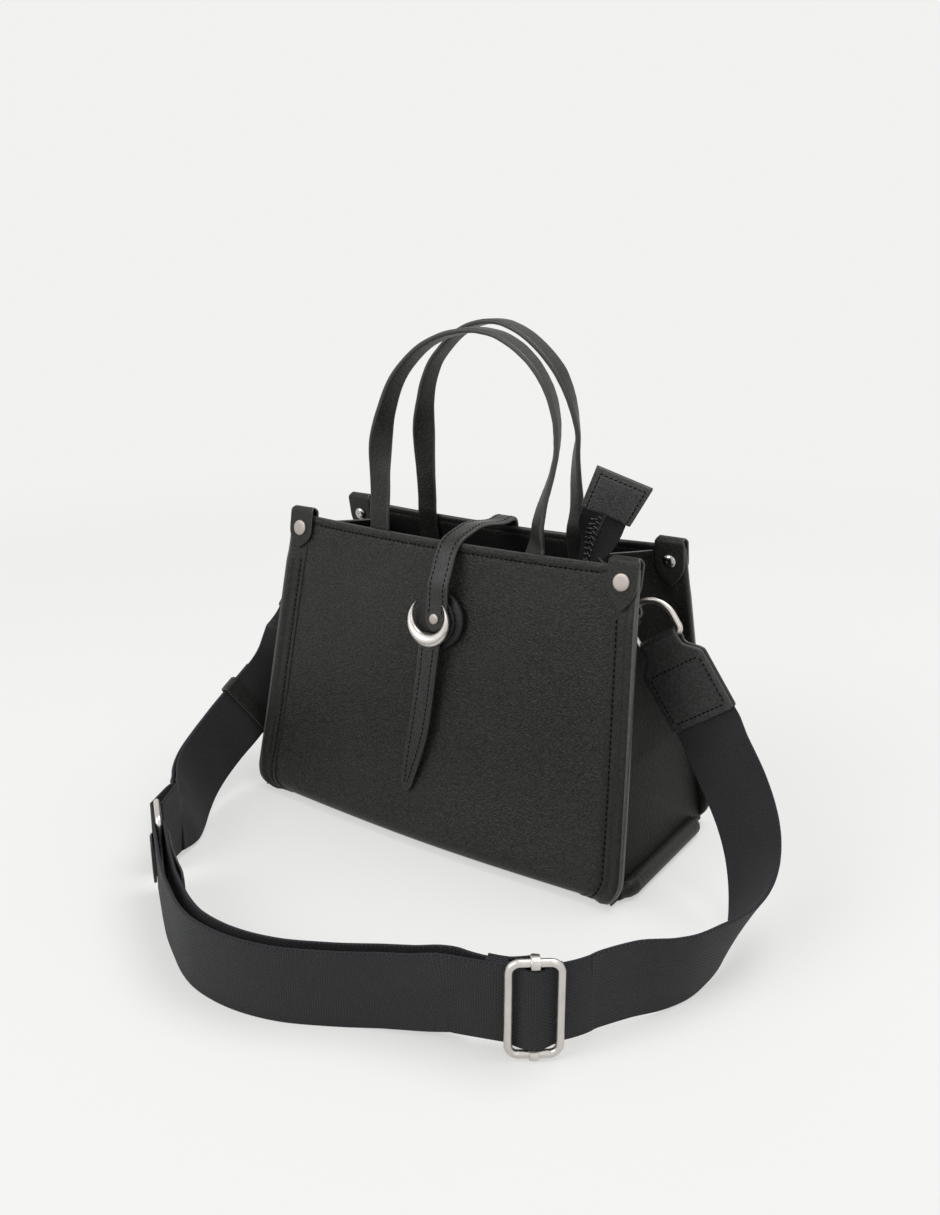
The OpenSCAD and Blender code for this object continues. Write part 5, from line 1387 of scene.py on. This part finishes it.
def slider():
    """The frame, and its bar inside the fold of webbing, with a lug bent round the frame at each end."""
    mid = bend_point(SLIDER_ANGLE, BEND_R + 2.7)
    outline = rounded_rectangle(SLIDER_HALF, SLIDER_HIGH, FRAME_CORNER)
    points = [mid - SLIDER_ALONG * x + vec(0, 0, y) for x, y in outline]
    closed_tube("slider_frame_metal", points, SLIDER_OUT, SLIDER_WIRE_R, "strap_slider", "slider_frame")
    bar = bend_point(SLIDER_ANGLE, BEND_R - GAP - FOLD_R)
    rod = [bar + vec(0, 0, z) for z in np.linspace(-20.5, 20.5, 30)]
    tube("slider_bar_rod", rod, [ROD_R] * 30, "strap_slider", [NICKEL], ("slider_bar",))
    for way, label in ((1, "top"), (-1, "low")):
        lug = [[*(mid + SLIDER_OUT * x + vec(0, 0, way * y)), *SLIDER_ALONG] for x, y in LUG]
        strap(f"slider_lug_{label}", Strip(curve(lug, 3)), 4.0, 0.9, "strap_slider", [NICKEL],
              ("slider_bar",))


def strap_ring():
    """The ring, and the leather tab round the webbing's loop on it."""
    outline = rounded_rectangle(RING_HALF, RING_HIGH, FRAME_CORNER)
    points = [RING_MID + RING_ALONG * x + vec(0, 0, y) for x, y in outline]
    closed_tube("strap_ring_metal", points, -RING_FACE, RING_WIRE_R, "bag", "strap_ring")
    r = LOOP_R + WEB_T / 2 + SEAT + RING_TAB_T / 2

    def leg(side, reach, spread):
        out = []
        for k in (0.25, 0.5, 0.75, 1):
            p = NEAR_BAR + RING_FACE * side * (r + spread * k * k) + RING_ALONG * reach * k
            out.append(vec(*p, *UP))
        return out

    stations = leg(1, 7, -0.2)[::-1] + half_turn(NEAR_BAR, RING_FACE, -RING_ALONG, r) + leg(-1, 42, 4)
    s = Strip(curve(stations, 5))
    from_end = np.minimum(s.l - s.l[0], s.l[-1] - s.l)
    corner = 4
    widths = [RING_TAB_W - 2 * (corner - math.sqrt(max(0.0, corner**2 - (corner - min(corner, d)) ** 2)))
              for d in from_end]
    strap("ring_tab_leather", s, RING_TAB_W, RING_TAB_T, "bag", [CHAPE_LIT, EDGE], ("ring_tab",),
          widths=widths)


for panel_side, panel_label in SIDES:
    panel(panel_side, panel_label)
for gusset_side, gusset_label in ((-1, "left"), (1, "right")):
    gusset(gusset_side, gusset_label)
base()
lining()
corner_tab(-1, -1, "front_left_corner_tab", 12.0)
corner_tab(-1, 1, "front_right_corner_tab", 14.4)
corner_tab(1, -1, "back_left_corner_tab", 14.0)
corner_tab(1, 1, "back_right_corner_tab", 14.0)
rivets()
handle(-1, 104, 9, FRONT_LINE, "front")
handle(1, 108, 7, BACK_LINE, "back")
closure_strap()
pointed_tab()
crescent()
snap()
zip_tail()
zip_end()
mouth_tapes()
for ring_side, ring_label in ((1, "right"), (-1, "left")):
    d_ring(ring_side, ring_label)
    chape(ring_side, ring_label)
right_webbing()
folded_end()
left_webbing()
slider()
strap_ring()

# the small hard parts that the CAD model shows as they are
for plain_node, plain_material in (("snap_magnet_fixed", GUN), ("snap_magnet_moving", GUN),
                                   ("zip_slider", GUN), ("zip_pull", GUN), ("base_board", BOARD)):
    plain = frame["nodes"][plain_node]
    plain.data.materials.clear()
    plain.data.materials.append(plain_material)
    round_edges(plain, 0.15, 2, 40)

# Camera, light and stage
YAW, PITCH = math.radians(34.7), math.radians(17.0)
FOCAL_PIXELS, PHOTO_HEIGHT = 1072, 1215
scene = bpy.context.scene
camera = bpy.data.objects.new("camera", bpy.data.cameras.new("camera"))
camera.data.sensor_width = 36
camera.data.lens = 36 * FOCAL_PIXELS / PHOTO_HEIGHT
camera.location = (0.340, -0.498, 0.312)
camera.rotation_euler = (math.pi / 2 - PITCH, 0, YAW)
scene.collection.objects.link(camera)
scene.camera = camera
scene.view_settings.view_transform = "Standard"


def lamp(name, place, size, power):
    data = bpy.data.lights.new(name, "AREA")
    data.shape = "DISK"
    data.size = size
    data.energy = power
    light = bpy.data.objects.new(name, data)
    light.location = place
    light.rotation_euler = (Vector((0, 0, 0.1)) - Vector(place)).to_track_quat("-Z", "Y").to_euler()
    scene.collection.objects.link(light)


lamp("key", (0.5, 0.5, 1.9), 1.4, 22)
lamp("fill", (-0.7, -1.7, 1.3), 1.6, 20)
lamp("side", (1.8, -0.9, 1.0), 1.2, 3)


def seen_directly(g):
    rays = g.put("LightPath").outputs
    both = g.math("MAXIMUM", rays["Is Camera Ray"], rays["Is Glossy Ray"])
    return g.math("MAXIMUM", both, rays["Is Transmission Ray"])


def stage_material():
    """Off-white floor that keeps its shadow near the bag and turns into an even backdrop away from it."""
    material = bpy.data.materials.new("stage")
    material.use_nodes = True
    g = Graph(material.node_tree)
    diffuse = g.put("BsdfDiffuse", {"Color": (0.86, 0.86, 0.855, 1)}).outputs[0]
    glow = g.put("Emission", {"Color": (0.886, 0.887, 0.870, 1), "Strength": 1.0}).outputs[0]
    place = g.put("TexCoord").outputs["Object"]
    away = g.put("VectorMath", {0: place}, operation="LENGTH").outputs["Value"]
    reach = {"Value": away, "From Min": 0.30, "From Max": 1.3, "To Min": 0.55, "To Max": 1.0}
    share = g.put("MapRange", reach, interpolation_type="SMOOTHSTEP").outputs[0]
    share = g.math("MULTIPLY", seen_directly(g), share)
    mix = g.put("MixShader", {0: share, 1: diffuse, 2: glow}).outputs[0]
    g.feed(g.put("OutputMaterial"), {0: mix})
    return material


def stage_floor():
    """A floor that turns up into a wall far behind."""
    turn = np.linspace(0.1, math.pi / 2, 12)
    profile = [(-3.0, 0.0), (2.2, 0.0)] + [(2.2 + 1.2 * math.sin(a), 1.2 - 1.2 * math.cos(a)) for a in turn]
    profile += [(3.4, 5.0)]
    verts = [(x, y, z) for y, z in profile for x in (-4.5, 4.5)]
    faces = [(i * 2, i * 2 + 1, i * 2 + 3, i * 2 + 2) for i in range(len(profile) - 1)]
    mesh = bpy.data.meshes.new("stage")
    mesh.from_pydata(verts, [], faces)
    mesh.materials.append(stage_material())
    mesh.polygons.foreach_set("use_smooth", [True] * len(faces))
    floor = bpy.data.objects.new("stage_floor", mesh)
    floor.rotation_euler = (0, 0, YAW)
    scene.collection.objects.link(floor)


def world():
    scene.world = bpy.data.worlds.new("world")
    scene.world.use_nodes = True
    g = Graph(scene.world.node_tree)
    strength = g.math("ADD", g.math("MULTIPLY", seen_directly(g), 0.5), 0.42)
    sky = g.put("Background", {"Color": (1, 1, 1, 1), "Strength": strength}).outputs[0]
    g.feed(g.put("OutputWorld"), {0: sky})


stage_floor()
world()
